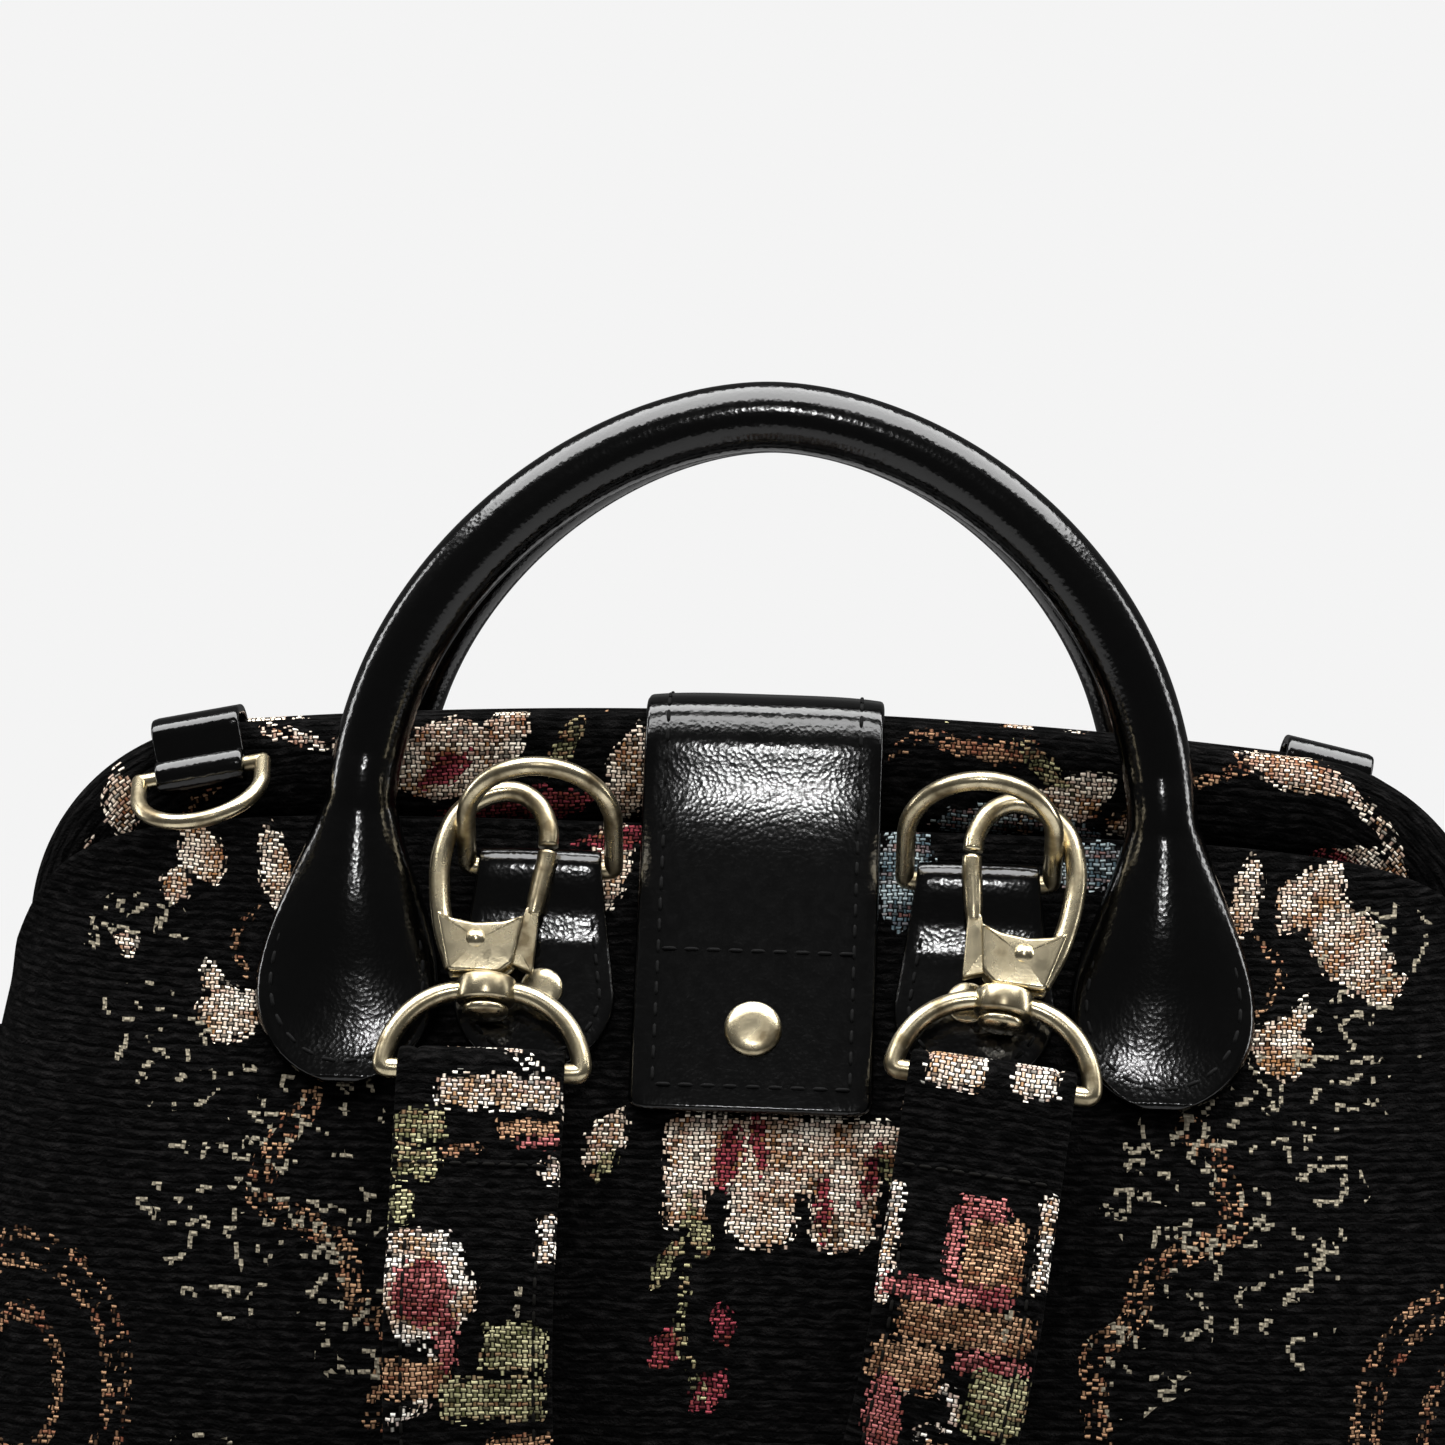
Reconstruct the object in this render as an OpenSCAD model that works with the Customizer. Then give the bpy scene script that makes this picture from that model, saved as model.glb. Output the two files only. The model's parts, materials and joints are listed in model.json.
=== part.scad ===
// Tapestry backpack with a hinged doctor-bag mouth, rolled handles and clip-on shoulder straps.
// Millimetres. The strap side (the back) faces -Y, the floor is z = 0 under the middle of the bag.

/* [Bag body] */
// Height of the closed mouth above the floor
bag_h = 270; // [245:1:310]
// Width over the closed mouth
mouth_w = 296; // [270:1:330]
// Fullest width of the body
body_w = 326; // [310:1:350]
// Fullest depth of the body
body_d = 148; // [130:1:170]
// Depth of the body at the floor
base_d = 136; // [120:1:146]
// Height of the fullest depth
belly_z = 40; // [30:1:60]
// Lean of the upper panels from upright, degrees
panel_lean = 24.6; // [20:0.2:28]
// Thickness of cloth, wadding and lining
panel_t = 3; // [2:0.2:4]
// Thickness of the stiff board in the base
board_t = 2.5; // [2:0.1:4]

/* [Mouth frame] */
// Width of the cloth sleeve round the mouth
sleeve_band = 22; // [19:1:28]
// Thickness of each sleeve
sleeve_t = 11; // [10:0.5:14]
// Gap between the closed sleeves
mouth_gap = 4; // [3:0.5:6]
// Drop of the mouth's top edge from its middle to its corners
mouth_sag = 5; // [2:0.5:8]
// Outer corner radius of the mouth
corner_r = 42; // [36:1:50]
// Distance of the hinge pins below the top
hinge_drop = 72; // [68:1:80]
// Width of the steel strip of the frame
frame_band = 12; // [10:0.5:13]
// Thickness of the steel strip
frame_t = 3; // [2:0.2:3.6]
// Diameter of the hinge pins
pin_d = 5; // [4:0.5:6]

/* [Handles] */
// Distance between the legs of a handle
handle_span = 161; // [150:1:172]
// Rise of the handle's middle line above the mouth's top edge
handle_rise = 60; // [45:1:90]
// Diameter of the rolled leather
handle_d = 14; // [12:0.5:16]
// Width of the sewn handle tabs
tab_w = 37; // [30:1:40]
// Length of the sewn handle tabs
tab_len = 57; // [48:1:60]

/* [Leather] */
// Thickness of the leather
leather_t = 2.5; // [2:0.1:3]
// Drop of the closing strap below the mouth's top edge
flap_drop = 77; // [68:1:80]
// Width of a ring tab at its fold
ring_tab_w = 24.4; // [22:0.2:26]
// Width of a ring tab at its foot
ring_tab_foot_w = 32; // [28:1:34]
// Length of a ring tab from its fold
ring_tab_len = 46; // [42:1:50]

/* [Rings and clasps] */
// Distance of a ring's bar below the sleeve's seam
ring_drop = 11; // [9:0.2:12]
// Wire of the strap rings
ring_wire = 3.8; // [3:0.1:4]
// Inside width of the strap rings
ring_in = 25.4; // [25:0.2:27]
// Height of the strap rings over their bar
ring_h = 27; // [25:0.5:29]
// Wire of the clasp's hook
hook_wire = 4; // [3.4:0.1:4.4]
// Diameter of the gate's pin
gate_pin_d = 2; // [1.6:0.1:2.4]
// Diameter of the swivel's post
post_d = 6; // [5:0.5:7]
// Wire of the strap loops
loop_wire = 4; // [3.4:0.1:4.4]
// Inside width of the strap loops
loop_in = 35; // [34.6:0.2:37]

/* [Shoulder straps] */
// Width of the shoulder straps
strap_w = 32.6; // [28:0.2:33]
// Thickness of the shoulder straps
strap_t = 3; // [2.4:0.2:4]
// Length that lies on the floor, one way
strap_lay = 150; // [100:5:200]
// Sideways lean of the right strap, degrees
strap_lean = 15; // [10:1:16]
// Turn of the right clasp, degrees
clasp_turn = 7; // [0:1:7]

/* [Side rings] */
// Wire of the side rings
side_wire = 3.2; // [2.6:0.1:3.6]
// Inside width of the side rings
side_in = 22; // [20:0.5:24]
// Width of the side tabs
side_tab_w = 18; // [14:0.5:19]

/* [Hidden] */
$fn = 48;

// Clearances: sewn pieces that lie on each other, sewn edges, and turning fits
lay_gap = 0.4;
seam_gap = 0.3;
turn_gap = 0.06;
sleeve_room = 0.4;

// Colours of the materials
cloth_black = [0.06, 0.06, 0.06];
cloth_rust = [0.36, 0.24, 0.17];
leather_black = [0.03, 0.03, 0.03];
brass_old = [0.46, 0.39, 0.25];
steel_grey = [0.55, 0.56, 0.58];

// Body outline: half width and half depth at each height, with leaning flat panels at the top
seam_z = bag_h - sleeve_band;
seam_d = sleeve_t + mouth_gap / 2 + panel_t + 0.5;
lean_len = 58;
lean_z = seam_z - lean_len;
lean_d = seam_d + lean_len * tan(panel_lean);
waist_z = 80;
corner_power = 5;
gusset_angle = 30;
gusset_top = bag_h - hinge_drop - 14;
panel_rows = 14;
panel_cols = 24;
gusset_cols = 10;
gusset_limit = bag_h - hinge_drop + 5;

function half_w(z) = body_w / 2
    - (body_w / 2 - mouth_w / 2 + 2) * pow((z - waist_z) / (seam_z - waist_z), 2);

function half_d(z) =
    z > lean_z ? lean_d - (z - lean_z) * tan(panel_lean) :
    z > belly_z ? body_d / 2 - (body_d / 2 - lean_d) * pow((z - belly_z) / (lean_z - belly_z), 2) :
    body_d / 2 - (body_d - base_d) / 2 * pow((belly_z - z) / belly_z, 2);

// A rounded rectangle of unit half width and half depth, by direction
function section(a) =
    let (c = cos(a), s = sin(a), p = corner_power)
    [c, s] * pow(pow(abs(c), p) + pow(abs(s), p), -1 / p);

function wall_point(a, z, inset) =
    let (q = section(a)) [(half_w(z) - inset) * q[0], (half_d(z) - inset) * q[1], z];

// The upper edge keeps clear of the sleeves, so it drops towards the sides
function edge_z(a) =
    let (share = max(abs(section(a)[1]), 0.01))
    max(gusset_top, seam_z - seam_gap - seam_d * (1 / share - 1) / tan(panel_lean));

// Solid between an outer and an inner grid of points, given row by row
module slab(outer, inner) {
    rows = len(outer);
    cols = len(outer[0]);
    far = rows * cols;
    function at(i, j) = i * cols + j;
    polyhedron(
        points = concat([for (r = outer) each r], [for (r = inner) each r]),
        faces = concat(
            [for (i = [0:rows - 2], j = [0:cols - 2])
                [at(i, j), at(i + 1, j), at(i + 1, j + 1), at(i, j + 1)]],
            [for (i = [0:rows - 2], j = [0:cols - 2])
                [far + at(i, j), far + at(i, j + 1), far + at(i + 1, j + 1), far + at(i + 1, j)]],
            [for (j = [0:cols - 2]) each [
                [at(0, j), at(0, j + 1), far + at(0, j + 1), far + at(0, j)],
                [at(rows - 1, j), far + at(rows - 1, j), far + at(rows - 1, j + 1),
                    at(rows - 1, j + 1)]]],
            [for (i = [0:rows - 2]) each [
                [at(i, 0), far + at(i, 0), far + at(i + 1, 0), at(i + 1, 0)],
                [at(i, cols - 1), at(i + 1, cols - 1), far + at(i + 1, cols - 1),
                    far + at(i, cols - 1)]]]));
}

// Solid through a list of closed rings of points, capped at both ends
module skin(rings) {
    n = len(rings[0]);
    last = (len(rings) - 1) * n;
    polyhedron(
        points = [for (r = rings) each r],
        faces = concat(
            [[for (k = [0:n - 1]) k]],
            [[for (k = [n - 1:-1:0]) last + k]],
            [for (i = [0:len(rings) - 2], k = [0:n - 1])
                let (k2 = (k + 1) % n, a = i * n, b = a + n) [a + k, b + k, b + k2, a + k2]]));
}

function unit(v) = v / norm(v);
function tangent(path, i) = unit(path[min(i + 1, len(path) - 1)] - path[max(i - 1, 0)]);
function smooth(x) = let (c = min(max(x, 0), 1)) c * c * (3 - 2 * c);

// Closed outline of a bent strip of thickness t that lies on the left of a flat path
function strip(path, t) = concat(path, [for (i = [len(path) - 1:-1:0])
    let (d = tangent(path, i)) path[i] + t * [-d[1], d[0]]]);

// A flat outline in (y, z), drawn out across the bag by a width about x = 0
module across(w) {
    rotate([90, 0, 90]) translate([0, 0, -w / 2]) linear_extrude(w) children();
}

// Places a piece on the leaning back panel: x across, z up the panel, -y out of it
module on_back(x, z) {
    translate([x, -half_d(z), z]) rotate([-panel_lean, 0, 0]) children();
}

module on_front(x, z) {
    mirror([0, 1, 0]) on_back(x, z) children();
}

// Sewn body

module body_patch(from, to, cols, limit) {
    angles = [for (j = [0:cols]) from + (to - from) * j / cols];
    function row(i, inset) = [for (a = angles)
        wall_point(a, min(edge_z(a), limit) * i / panel_rows, inset)];
    slab([for (i = [0:panel_rows]) row(i, 0)], [for (i = [0:panel_rows]) row(i, panel_t)]);
}

seam_angle = asin(seam_gap / body_w) * 2;

module rear_panel() {
    color(cloth_black) body_patch(180 + gusset_angle, 360 - gusset_angle, panel_cols, seam_z);
}

module front_panel() {
    color(cloth_black) body_patch(gusset_angle, 180 - gusset_angle, panel_cols, seam_z);
}

module gusset_right() {
    color(cloth_black)
        body_patch(seam_angle - gusset_angle, gusset_angle - seam_angle, gusset_cols, gusset_limit);
}

module gusset_left() {
    color(cloth_black)
        body_patch(180 - gusset_angle + seam_angle, 180 + gusset_angle - seam_angle, gusset_cols,
            gusset_limit);
}

module base_outline(inset) {
    polygon([for (a = [0:5:355]) let (q = section(a))
        [(half_w(0) - inset) * q[0], (half_d(0) - inset) * q[1]]]);
}

module base_panel() {
    color(cloth_black) linear_extrude(panel_t) base_outline(panel_t + seam_gap);
}

module base_board() {
    color(leather_black) translate([0, 0, panel_t + seam_gap])
        linear_extrude(board_t) base_outline(2 * panel_t + 4);
}

// Hinged mouth

hinge_z = bag_h - hinge_drop;
sleeve_foot = hinge_z + 9;
frame_inset = 5;
frame_y = mouth_gap / 2 + (sleeve_t - frame_t) / 2;
eye_r = pin_d / 2 + 3.5;
lug_t = 2.5;
lug_x = mouth_w / 2 - frame_inset - 3.5;
lug_pitch = lug_t + seam_gap;
pin_head_t = 1.5;
mouth_max = 50;
// The top edge is a wide arc between the corners
top_half = mouth_w / 2 - corner_r;
crown_r = (pow(top_half, 2) + pow(mouth_sag, 2)) / (2 * mouth_sag);

module arch_area(inset, foot) {
    hw = mouth_w / 2 - inset;
    side_top = bag_h - mouth_sag - inset;
    r = corner_r - inset;
    intersection() {
        union() {
            translate([-hw, foot]) square([2 * hw, side_top - r - foot]);
            for (s = [-1, 1]) translate([s * top_half, side_top - r]) circle(r, $fn = 96);
            intersection() {
                translate([0, bag_h - crown_r]) circle(crown_r - inset, $fn = 720);
                translate([-top_half, foot]) square([2 * top_half, bag_h - foot]);
            }
        }
        translate([-hw, foot]) square([2 * hw, bag_h - foot]);
    }
}

module arch_band(inset, band, foot) {
    difference() {
        arch_area(inset, foot);
        arch_area(inset + band, foot - 1);
    }
}

// One band of the arch, set back from the middle plane on the strap side
module arch_plate(inset, band, foot, near, t) {
    translate([0, -near, 0]) rotate([90, 0, 0]) linear_extrude(t) arch_band(inset, band, foot);
}

module sleeve() {
    color(cloth_black) difference() {
        arch_plate(0, sleeve_band, sleeve_foot, mouth_gap / 2, sleeve_t);
        arch_plate(frame_inset - sleeve_room, frame_band + 2 * sleeve_room, sleeve_foot - 1,
            frame_y - sleeve_room, frame_t + 2 * sleeve_room);
    }
}

module lug() {
    far = -frame_y - frame_t;
    rotate([90, 0, 90]) linear_extrude(lug_t) {
        translate([0, hinge_z]) circle(eye_r);
        polygon([[far, sleeve_foot + 7], [-frame_y, sleeve_foot + 7], [-frame_y, sleeve_foot - 1],
            [eye_r * 0.7, hinge_z + eye_r * 0.7], [-eye_r * 0.7, hinge_z - eye_r * 0.7],
            [far, hinge_z + 4]]);
    }
}

module frame_half(inward) {
    color(steel_grey) difference() {
        union() {
            arch_plate(frame_inset, frame_band, sleeve_foot, frame_y, frame_t);
            for (s = [0, 1]) mirror([s, 0, 0]) translate([lug_x - inward - lug_t, 0, 0]) lug();
        }
        translate([-mouth_w, 0, hinge_z]) rotate([0, 90, 0])
            cylinder(h = 2 * mouth_w, d = pin_d + 2 * turn_gap);
    }
}

module rear_sleeve() sleeve();
module front_sleeve() mirror([0, 1, 0]) sleeve();
module rear_frame() frame_half(0);
module front_frame() mirror([0, 1, 0]) frame_half(lug_pitch);

module hinge_pin_right() {
    inner = lug_x - lug_pitch - lug_t - seam_gap - pin_head_t;
    len_pin = 2 * lug_t + 3 * seam_gap + 2 * pin_head_t;
    color(steel_grey) translate([inner, 0, hinge_z]) rotate([0, 90, 0]) {
        cylinder(h = len_pin, d = pin_d);
        for (x = [0, len_pin - pin_head_t]) translate([0, 0, x]) cylinder(h = pin_head_t, d = pin_d + 3);
    }
}

module hinge_pin_left() mirror([1, 0, 0]) hinge_pin_right();

// Rolled handles, each one piece of leather that flattens into two sewn tabs

handle_foot = seam_z - tab_len * cos(panel_lean);
arch_foot = seam_z + 7;
arch_b = bag_h + handle_rise - arch_foot;
tab_edge = 3;
tab_dome = 6;
tab_hollow = 0.1;
handle_base = mouth_gap / 2 + sleeve_t + 2;
tab_steps = 14;
arch_steps = 26;

// Base line of the handle: up the left tab, over the arch and down the right tab
function handle_side(s) = [for (i = [0:tab_steps])
    let (z = handle_foot + (arch_foot - handle_foot) * i / tab_steps,
        y = max(half_d(min(z, seam_z)) + lay_gap, handle_base))
    [s * handle_span / 2, -y, z]];
handle_path = concat(handle_side(-1),
    [for (i = [1:arch_steps - 1]) let (a = 180 - 180 * i / arch_steps)
        [handle_span / 2 * cos(a), -handle_base, arch_foot + arch_b * sin(a)]],
    [for (i = [tab_steps:-1:0]) handle_side(1)[i]]);

function handle_ring(i) =
    let (p = handle_path[i], t = tangent(handle_path, i), up = p[2] - handle_foot,
        lean = panel_lean * (1 - smooth((p[2] - seam_z + 8) / 16)),
        v = unit(cross(t, cross([0, -cos(lean), sin(lean)], t))), u = cross(v, t),
        flat = 1 - smooth((up - tab_len * 0.32) / (tab_len * 0.68)),
        round_end = sqrt(1 - pow(max(0, 1 - (up + 0.4) / (tab_w / 2)), 2)),
        hw = tab_w / 2 * round_end, r = handle_d / 2,
        dome = tab_dome * smooth(up / tab_len * 1.6))
    [for (k = [0:15]) let (c = cos(k * 22.5), s = sin(k * 22.5), top = max(s, 0),
        du = flat * hw * c + (1 - flat) * r * c,
        under = tab_hollow * min(s, 0),
        dv = flat * (tab_edge * min(1, 3 * top) + dome * top * top + under) + (1 - flat) * (r + r * s))
        p + du * u + dv * v];

module rear_handle() {
    color(leather_black) skin([for (i = [0:len(handle_path) - 1]) handle_ring(i)]);
}

module front_handle() mirror([0, 1, 0]) rear_handle();

// Across the strap side: closing strap, ring tabs and handle tabs lie next to each other

clasp_room = 37;
ring_span = handle_span - 2 * clasp_room;
ring_room = 19.5;
flap_w = ring_span - 2 * ring_room;

// Closing strap over the mouth: fixed on the strap side, snapped on the front

flap_y = mouth_gap / 2 + sleeve_t + lay_gap + 0.2;
flap_bend = 1.4;
flap_split = 1;
flap_foot = bag_h - flap_drop;
rivet_z = flap_foot + 15;

function flap_path(reach) = concat(
    [[-half_d(flap_foot) - lay_gap, flap_foot], [-half_d(seam_z) - lay_gap, seam_z],
        [-half_d(seam_z) - lay_gap, seam_z + 2], [-flap_y, seam_z + 8]],
    [for (a = [180:-15:90])
        [flap_bend - flap_y + flap_bend * cos(a), bag_h + lay_gap - flap_bend + flap_bend * sin(a)]],
    [[reach, bag_h + lay_gap]]);

module flap(reach) {
    color(leather_black) across(flap_w) polygon(strip(flap_path(reach), leather_t));
}

module closing_strap_rear() flap(flap_split);
module closing_strap_front() mirror([0, 1, 0]) flap(-flap_split - seam_gap);

// A domed head on a flat rim, facing -y
module rivet_head(d, h) {
    ball = (d * d / 4 + h * h) / (2 * h);
    rotate([90, 0, 0]) intersection() {
        translate([0, 0, h - ball]) sphere(ball);
        cylinder(h = h, d = d);
    }
}

rivet_d = 11.4;
rivet_h = 1.8;

module flap_rivet() {
    color(brass_old) on_back(0, rivet_z) translate([0, -lay_gap - leather_t - 0.05, 0])
        rivet_head(rivet_d, rivet_h);
}

module snap_cap() {
    color(brass_old) on_front(0, rivet_z) translate([0, -lay_gap - leather_t - 0.05, 0])
        rivet_head(rivet_d, rivet_h);
}

// The stud is set into the front panel, with its flange behind the cloth
module snap_stud() {
    color(brass_old) on_front(0, rivet_z) translate([0, panel_t + 1.6, 0]) rotate([90, 0, 0])
        cylinder(h = 1.2, d = rivet_d - 2);
}

// Strap rings in their tabs

bar_z = seam_z - ring_drop;
ring_r = (ring_in + ring_wire) / 2;
ring_tilt = 62;
fold_r = ring_wire / 2 + turn_gap + leather_t - 0.6;
bar_out = fold_r + lay_gap;
tongue_t = 2 * leather_t - 1;
tab_rivet_d = 8;

// Left pieces are drawn as they are, right ones are their mirror image
module on_ring(side) {
    if (side < 0) on_back(-ring_span / 2, bar_z) children();
    else mirror([1, 0, 0]) on_back(-ring_span / 2, bar_z) children();
}

module ring_tab(side) {
    foot = ring_tab_len - fold_r;
    r = ring_tab_foot_w / 2;
    color(leather_black) on_ring(side) difference() {
        union() {
            translate([0, -lay_gap, 0]) rotate([90, 0, 0]) linear_extrude(tongue_t) {
                polygon([[-ring_tab_w / 2, 0], [-r, r - foot], [r, r - foot], [ring_tab_w / 2, 0]]);
                translate([0, r - foot]) circle(r);
            }
            translate([-ring_tab_w / 2, -bar_out, 0]) rotate([0, 90, 0])
                cylinder(h = ring_tab_w, r = fold_r);
        }
        translate([-ring_tab_w, -bar_out, 0]) rotate([0, 90, 0])
            cylinder(h = 2 * ring_tab_w, d = ring_wire + 2 * turn_gap);
    }
}

tab_rivet_s = ring_tab_len * 0.55;

module tab_rivet(side) {
    color(brass_old) on_ring(side) translate([1.5, -lay_gap - tongue_t - 0.05, -tab_rivet_s])
        rivet_head(tab_rivet_d, 1.4);
}

// A bar, two limbs and a half round arch, standing up from its bar
module d_ring(r, h, wire) {
    rotate([0, 90, 0]) cylinder(h = 2 * r, d = wire, center = true);
    for (s = [-1, 1]) {
        translate([s * r, 0, 0]) sphere(d = wire);
        translate([s * r, 0, 0]) cylinder(h = h - r, d = wire);
    }
    translate([0, 0, h - r]) rotate([90, 0, 0]) rotate_extrude(angle = 180)
        translate([r, 0]) circle(d = wire);
}

module strap_ring(side) {
    color(brass_old) on_ring(side) translate([0, -bar_out, 0]) rotate([ring_tilt, 0, 0])
        d_ring(ring_r, ring_h, ring_wire);
}

// Swivel clasps: hook, sprung gate on its pin, and the loop that turns on the hook's post

clasp_out = 11;
clasp_x = -8.8;
eye_top = 39;
eye_left = -10.5;
eye_right = 10.5;
left_bend = 13;
right_bend = 8;
bend_x = 2.5;
hook_gap = 1.2;
wire_bead = 0.1;
plate_ease = 0.7;
// The hook's arch lies on the ring's limb where the ring passes through the eye
ring_cross = (clasp_out - bar_out) / tan(ring_tilt);
clasp_s = ring_cross + 1.41 * ((ring_wire + hook_wire) / 2 + hook_gap) - eye_top + 2.8;
gate_pivot = [-2.5, 7];
gate_t = 2.6;
// The gate meets the hook's tip along a slanting break, so it can swing in past it
break_at = [10.4, 27];
break_gap = 0.25;
function break_z(x) = break_at[1] - 1.19 * (x - break_at[0]);
body_t = 6.4;
collar_h = 5.4;
collar_gap = 0.3;
loop_drop = 19;
loop_r = (loop_in + loop_wire) / 2 - 3;

// The right clasp hangs turned about the place where it lies on the ring's limb
turn_x = -ring_r - clasp_x;
turn_z = eye_top - 3;
turn_shift = 1.3;

module on_clasp(side) {
    on_ring(side) translate([clasp_x + turn_x - (side < 0 ? 0 : turn_shift), -clasp_out, clasp_s + turn_z])
        rotate([0, side < 0 ? 0 : -clasp_turn, 0]) translate([-turn_x, 0, -turn_z]) children();
}

// Rounds the corners of an outline
module eased(r) {
    offset(r = r) offset(delta = -2 * r) offset(delta = r) children();
}

// A flat plate in the hook's plane, centred on it
module hook_plate(t) {
    rotate([90, 0, 0]) translate([0, 0, -t / 2]) linear_extrude(t) children();
}

// A bent wire in the hook's plane
module wire_arc(centre, r, from, sweep) {
    translate([centre[0], 0, centre[1]]) rotate([90, 0, 0]) rotate([0, 0, from])
        rotate_extrude(angle = sweep) translate([r, 0]) circle(d = hook_wire);
}

module wire_run(a, b) {
    d = b - a;
    translate([a[0], 0, a[1]]) rotate([0, atan2(d[0], d[1]), 0]) cylinder(h = norm(d), d = hook_wire);
}

module hook(side) {
    color(brass_old) on_clasp(side) {
        wire_arc([bend_x, eye_top - left_bend], left_bend, 90, 90);
        wire_arc([bend_x, eye_top - right_bend], right_bend, 0, 90);
        wire_run([eye_left, 15], [eye_left, eye_top - left_bend]);
        wire_run([-7.5, 6], [eye_left, 15]);
        for (p = [[eye_left, 15], [-7.5, 6], [eye_left, eye_top - left_bend], [bend_x, eye_top],
            [eye_right, eye_top - right_bend]])
            translate([p[0], 0, p[1]]) sphere(d = hook_wire + wire_bead);
        difference() {
            wire_run([eye_right, break_at[1] - 4], [eye_right, eye_top - right_bend]);
            hook_plate(2 * hook_wire) polygon([[0, 0], [20, 0], [20, break_z(20) + break_gap],
                [0, break_z(0) + break_gap]]);
        }
        difference() {
            hook_plate(body_t) eased(plate_ease) polygon([[-10.8, 12.6], [-7.4, 0], [2.4, 0], [5.2, 2.2],
                [6.8, 12.4], [2.5, 10.8], [-3, 10.3], [-7.5, 11.2]]);
            hook_plate(gate_t + 2 * collar_gap) polygon([[-6.4, 2], [9, -2], [9, 14], [-6.4, 14]]);
            translate([gate_pivot[0], body_t, gate_pivot[1]]) rotate([90, 0, 0])
                cylinder(h = 2 * body_t, d = gate_pin_d);
        }
        translate([0, 0, -collar_h - 2 * collar_gap - 2]) cylinder(h = collar_h + 2 * collar_gap + 4, d = post_d);
        translate([0, 0, -collar_h - 2 * collar_gap - 2]) cylinder(h = 2, d = post_d + 3);
    }
}

module gate_pin(side) {
    color(brass_old) on_clasp(side) translate([gate_pivot[0], 0, gate_pivot[1]]) {
        rotate([90, 0, 0]) cylinder(h = body_t, d = gate_pin_d, center = true);
        translate([0, -body_t / 2, 0]) rivet_head(gate_pin_d + 2, 1);
    }
}

module gate(side) {
    left = eye_right - hook_wire / 2;
    right = eye_right + hook_wire / 2 - 0.1;
    color(brass_old) on_clasp(side) difference() {
        union() {
            hook_plate(gate_t) {
                translate(gate_pivot) circle(gate_pin_d / 2 + 1.6);
                polygon([[gate_pivot[0], 5.4], [6, 2.2], [9.2, 2], [9.8, 15], [7, 15], [5.6, 9.6],
                    [gate_pivot[0], 9]]);
            }
            hook_plate(hook_wire) polygon([[7, 13.6], [9.7, 13.6], [right, 21],
                [right, break_z(right) - break_gap], [left, break_z(left) - break_gap], [left - 0.7, 20]]);
        }
        translate([gate_pivot[0], body_t, gate_pivot[1]]) rotate([90, 0, 0])
            cylinder(h = 2 * body_t, d = gate_pin_d + 2 * turn_gap);
    }
}

module swivel_loop(side) {
    reach = loop_r + 3;
    color(brass_old) on_clasp(side) translate([0, 0, -collar_gap]) difference() {
        union() {
            translate([0, 0, -collar_h]) cylinder(h = collar_h, d = post_d + 5.6);
            for (s = [0, 1]) mirror([s, 0, 0]) {
                translate([3, 0, -loop_drop]) rotate([90, 0, 0]) rotate_extrude(angle = 90)
                    translate([loop_r, 0]) circle(d = loop_wire);
                translate([reach, 0, -loop_drop]) sphere(d = loop_wire);
            }
            translate([-reach, 0, -loop_drop]) rotate([0, 90, 0]) cylinder(h = 2 * reach, d = loop_wire);
        }
        translate([0, 0, -collar_h - 1]) cylinder(h = collar_h + 2, d = post_d + 2 * turn_gap);
        translate([0, 0, -collar_h - 8]) cylinder(h = 8, d = post_d + 4);
    }
}

// Shoulder straps: a folded end sewn round the loop, then a run down the back to the floor and home

fold_in = loop_wire / 2 + lay_gap;
fold_t = 2.2;
fold_taper = 20;
strap_end_len = 42;
clasp_centre = ring_span / 2 - clasp_x;

module strap_end(side) {
    half = fold_in + fold_t;
    color(cloth_rust) on_clasp(side) translate([0, 0, -collar_gap - loop_drop]) across(strap_w)
        difference() {
            union() {
                circle(half);
                polygon([[-half, 0], [-fold_t, -fold_taper], [-fold_t, -strap_end_len],
                    [fold_t, -strap_end_len], [fold_t, -fold_taper], [half, 0]]);
            }
            circle(fold_in);
            polygon([[-fold_in, 0], [-0.1, 2 - fold_taper], [0.1, 2 - fold_taper], [fold_in, 0]]);
        }
}

// The run starts under the sewn end, in the plane of the clasp
run_gap = 0.8;
end_reach = turn_z + collar_gap + loop_drop + strap_end_len + run_gap;
run_s = clasp_s + turn_z - end_reach;
run_z = bar_z + run_s * cos(panel_lean) + clasp_out * sin(panel_lean);
run_y = -half_d(bar_z) + run_s * sin(panel_lean) - clasp_out * cos(panel_lean);
run_clear = body_d / 2 + strap_t / 2 + lay_gap + 1;
floor_z = strap_t / 2 + lay_gap;
turn_r = 18;
hairpin_r = strap_t / 2 + 0.8;
top_z = floor_z + 2 * hairpin_r;
anchor_y = base_d / 2 + strap_t + lay_gap;
run_steps = 12;
lean_soft = 40;
left_lean = 2.5;

strap_line = concat(
    [for (i = [0:run_steps]) let (f = i / run_steps, z = run_z + (top_z + turn_r - run_z) * f)
        [run_y - (run_clear + run_y) * sin(90 * f), z]],
    [for (a = [18:18:90]) [-run_clear - turn_r + turn_r * cos(a), top_z + turn_r - turn_r * sin(a)]],
    [for (i = [1:4]) [-run_clear - turn_r - strap_lay * i / 4, top_z]],
    [for (a = [30:30:180]) [-run_clear - turn_r - strap_lay - hairpin_r * sin(a),
        floor_z + hairpin_r + hairpin_r * cos(a)]],
    [for (i = [1:5]) [-run_clear - turn_r - strap_lay * (1 - i / 5), floor_z]],
    [[-anchor_y, floor_z]]);

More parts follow.
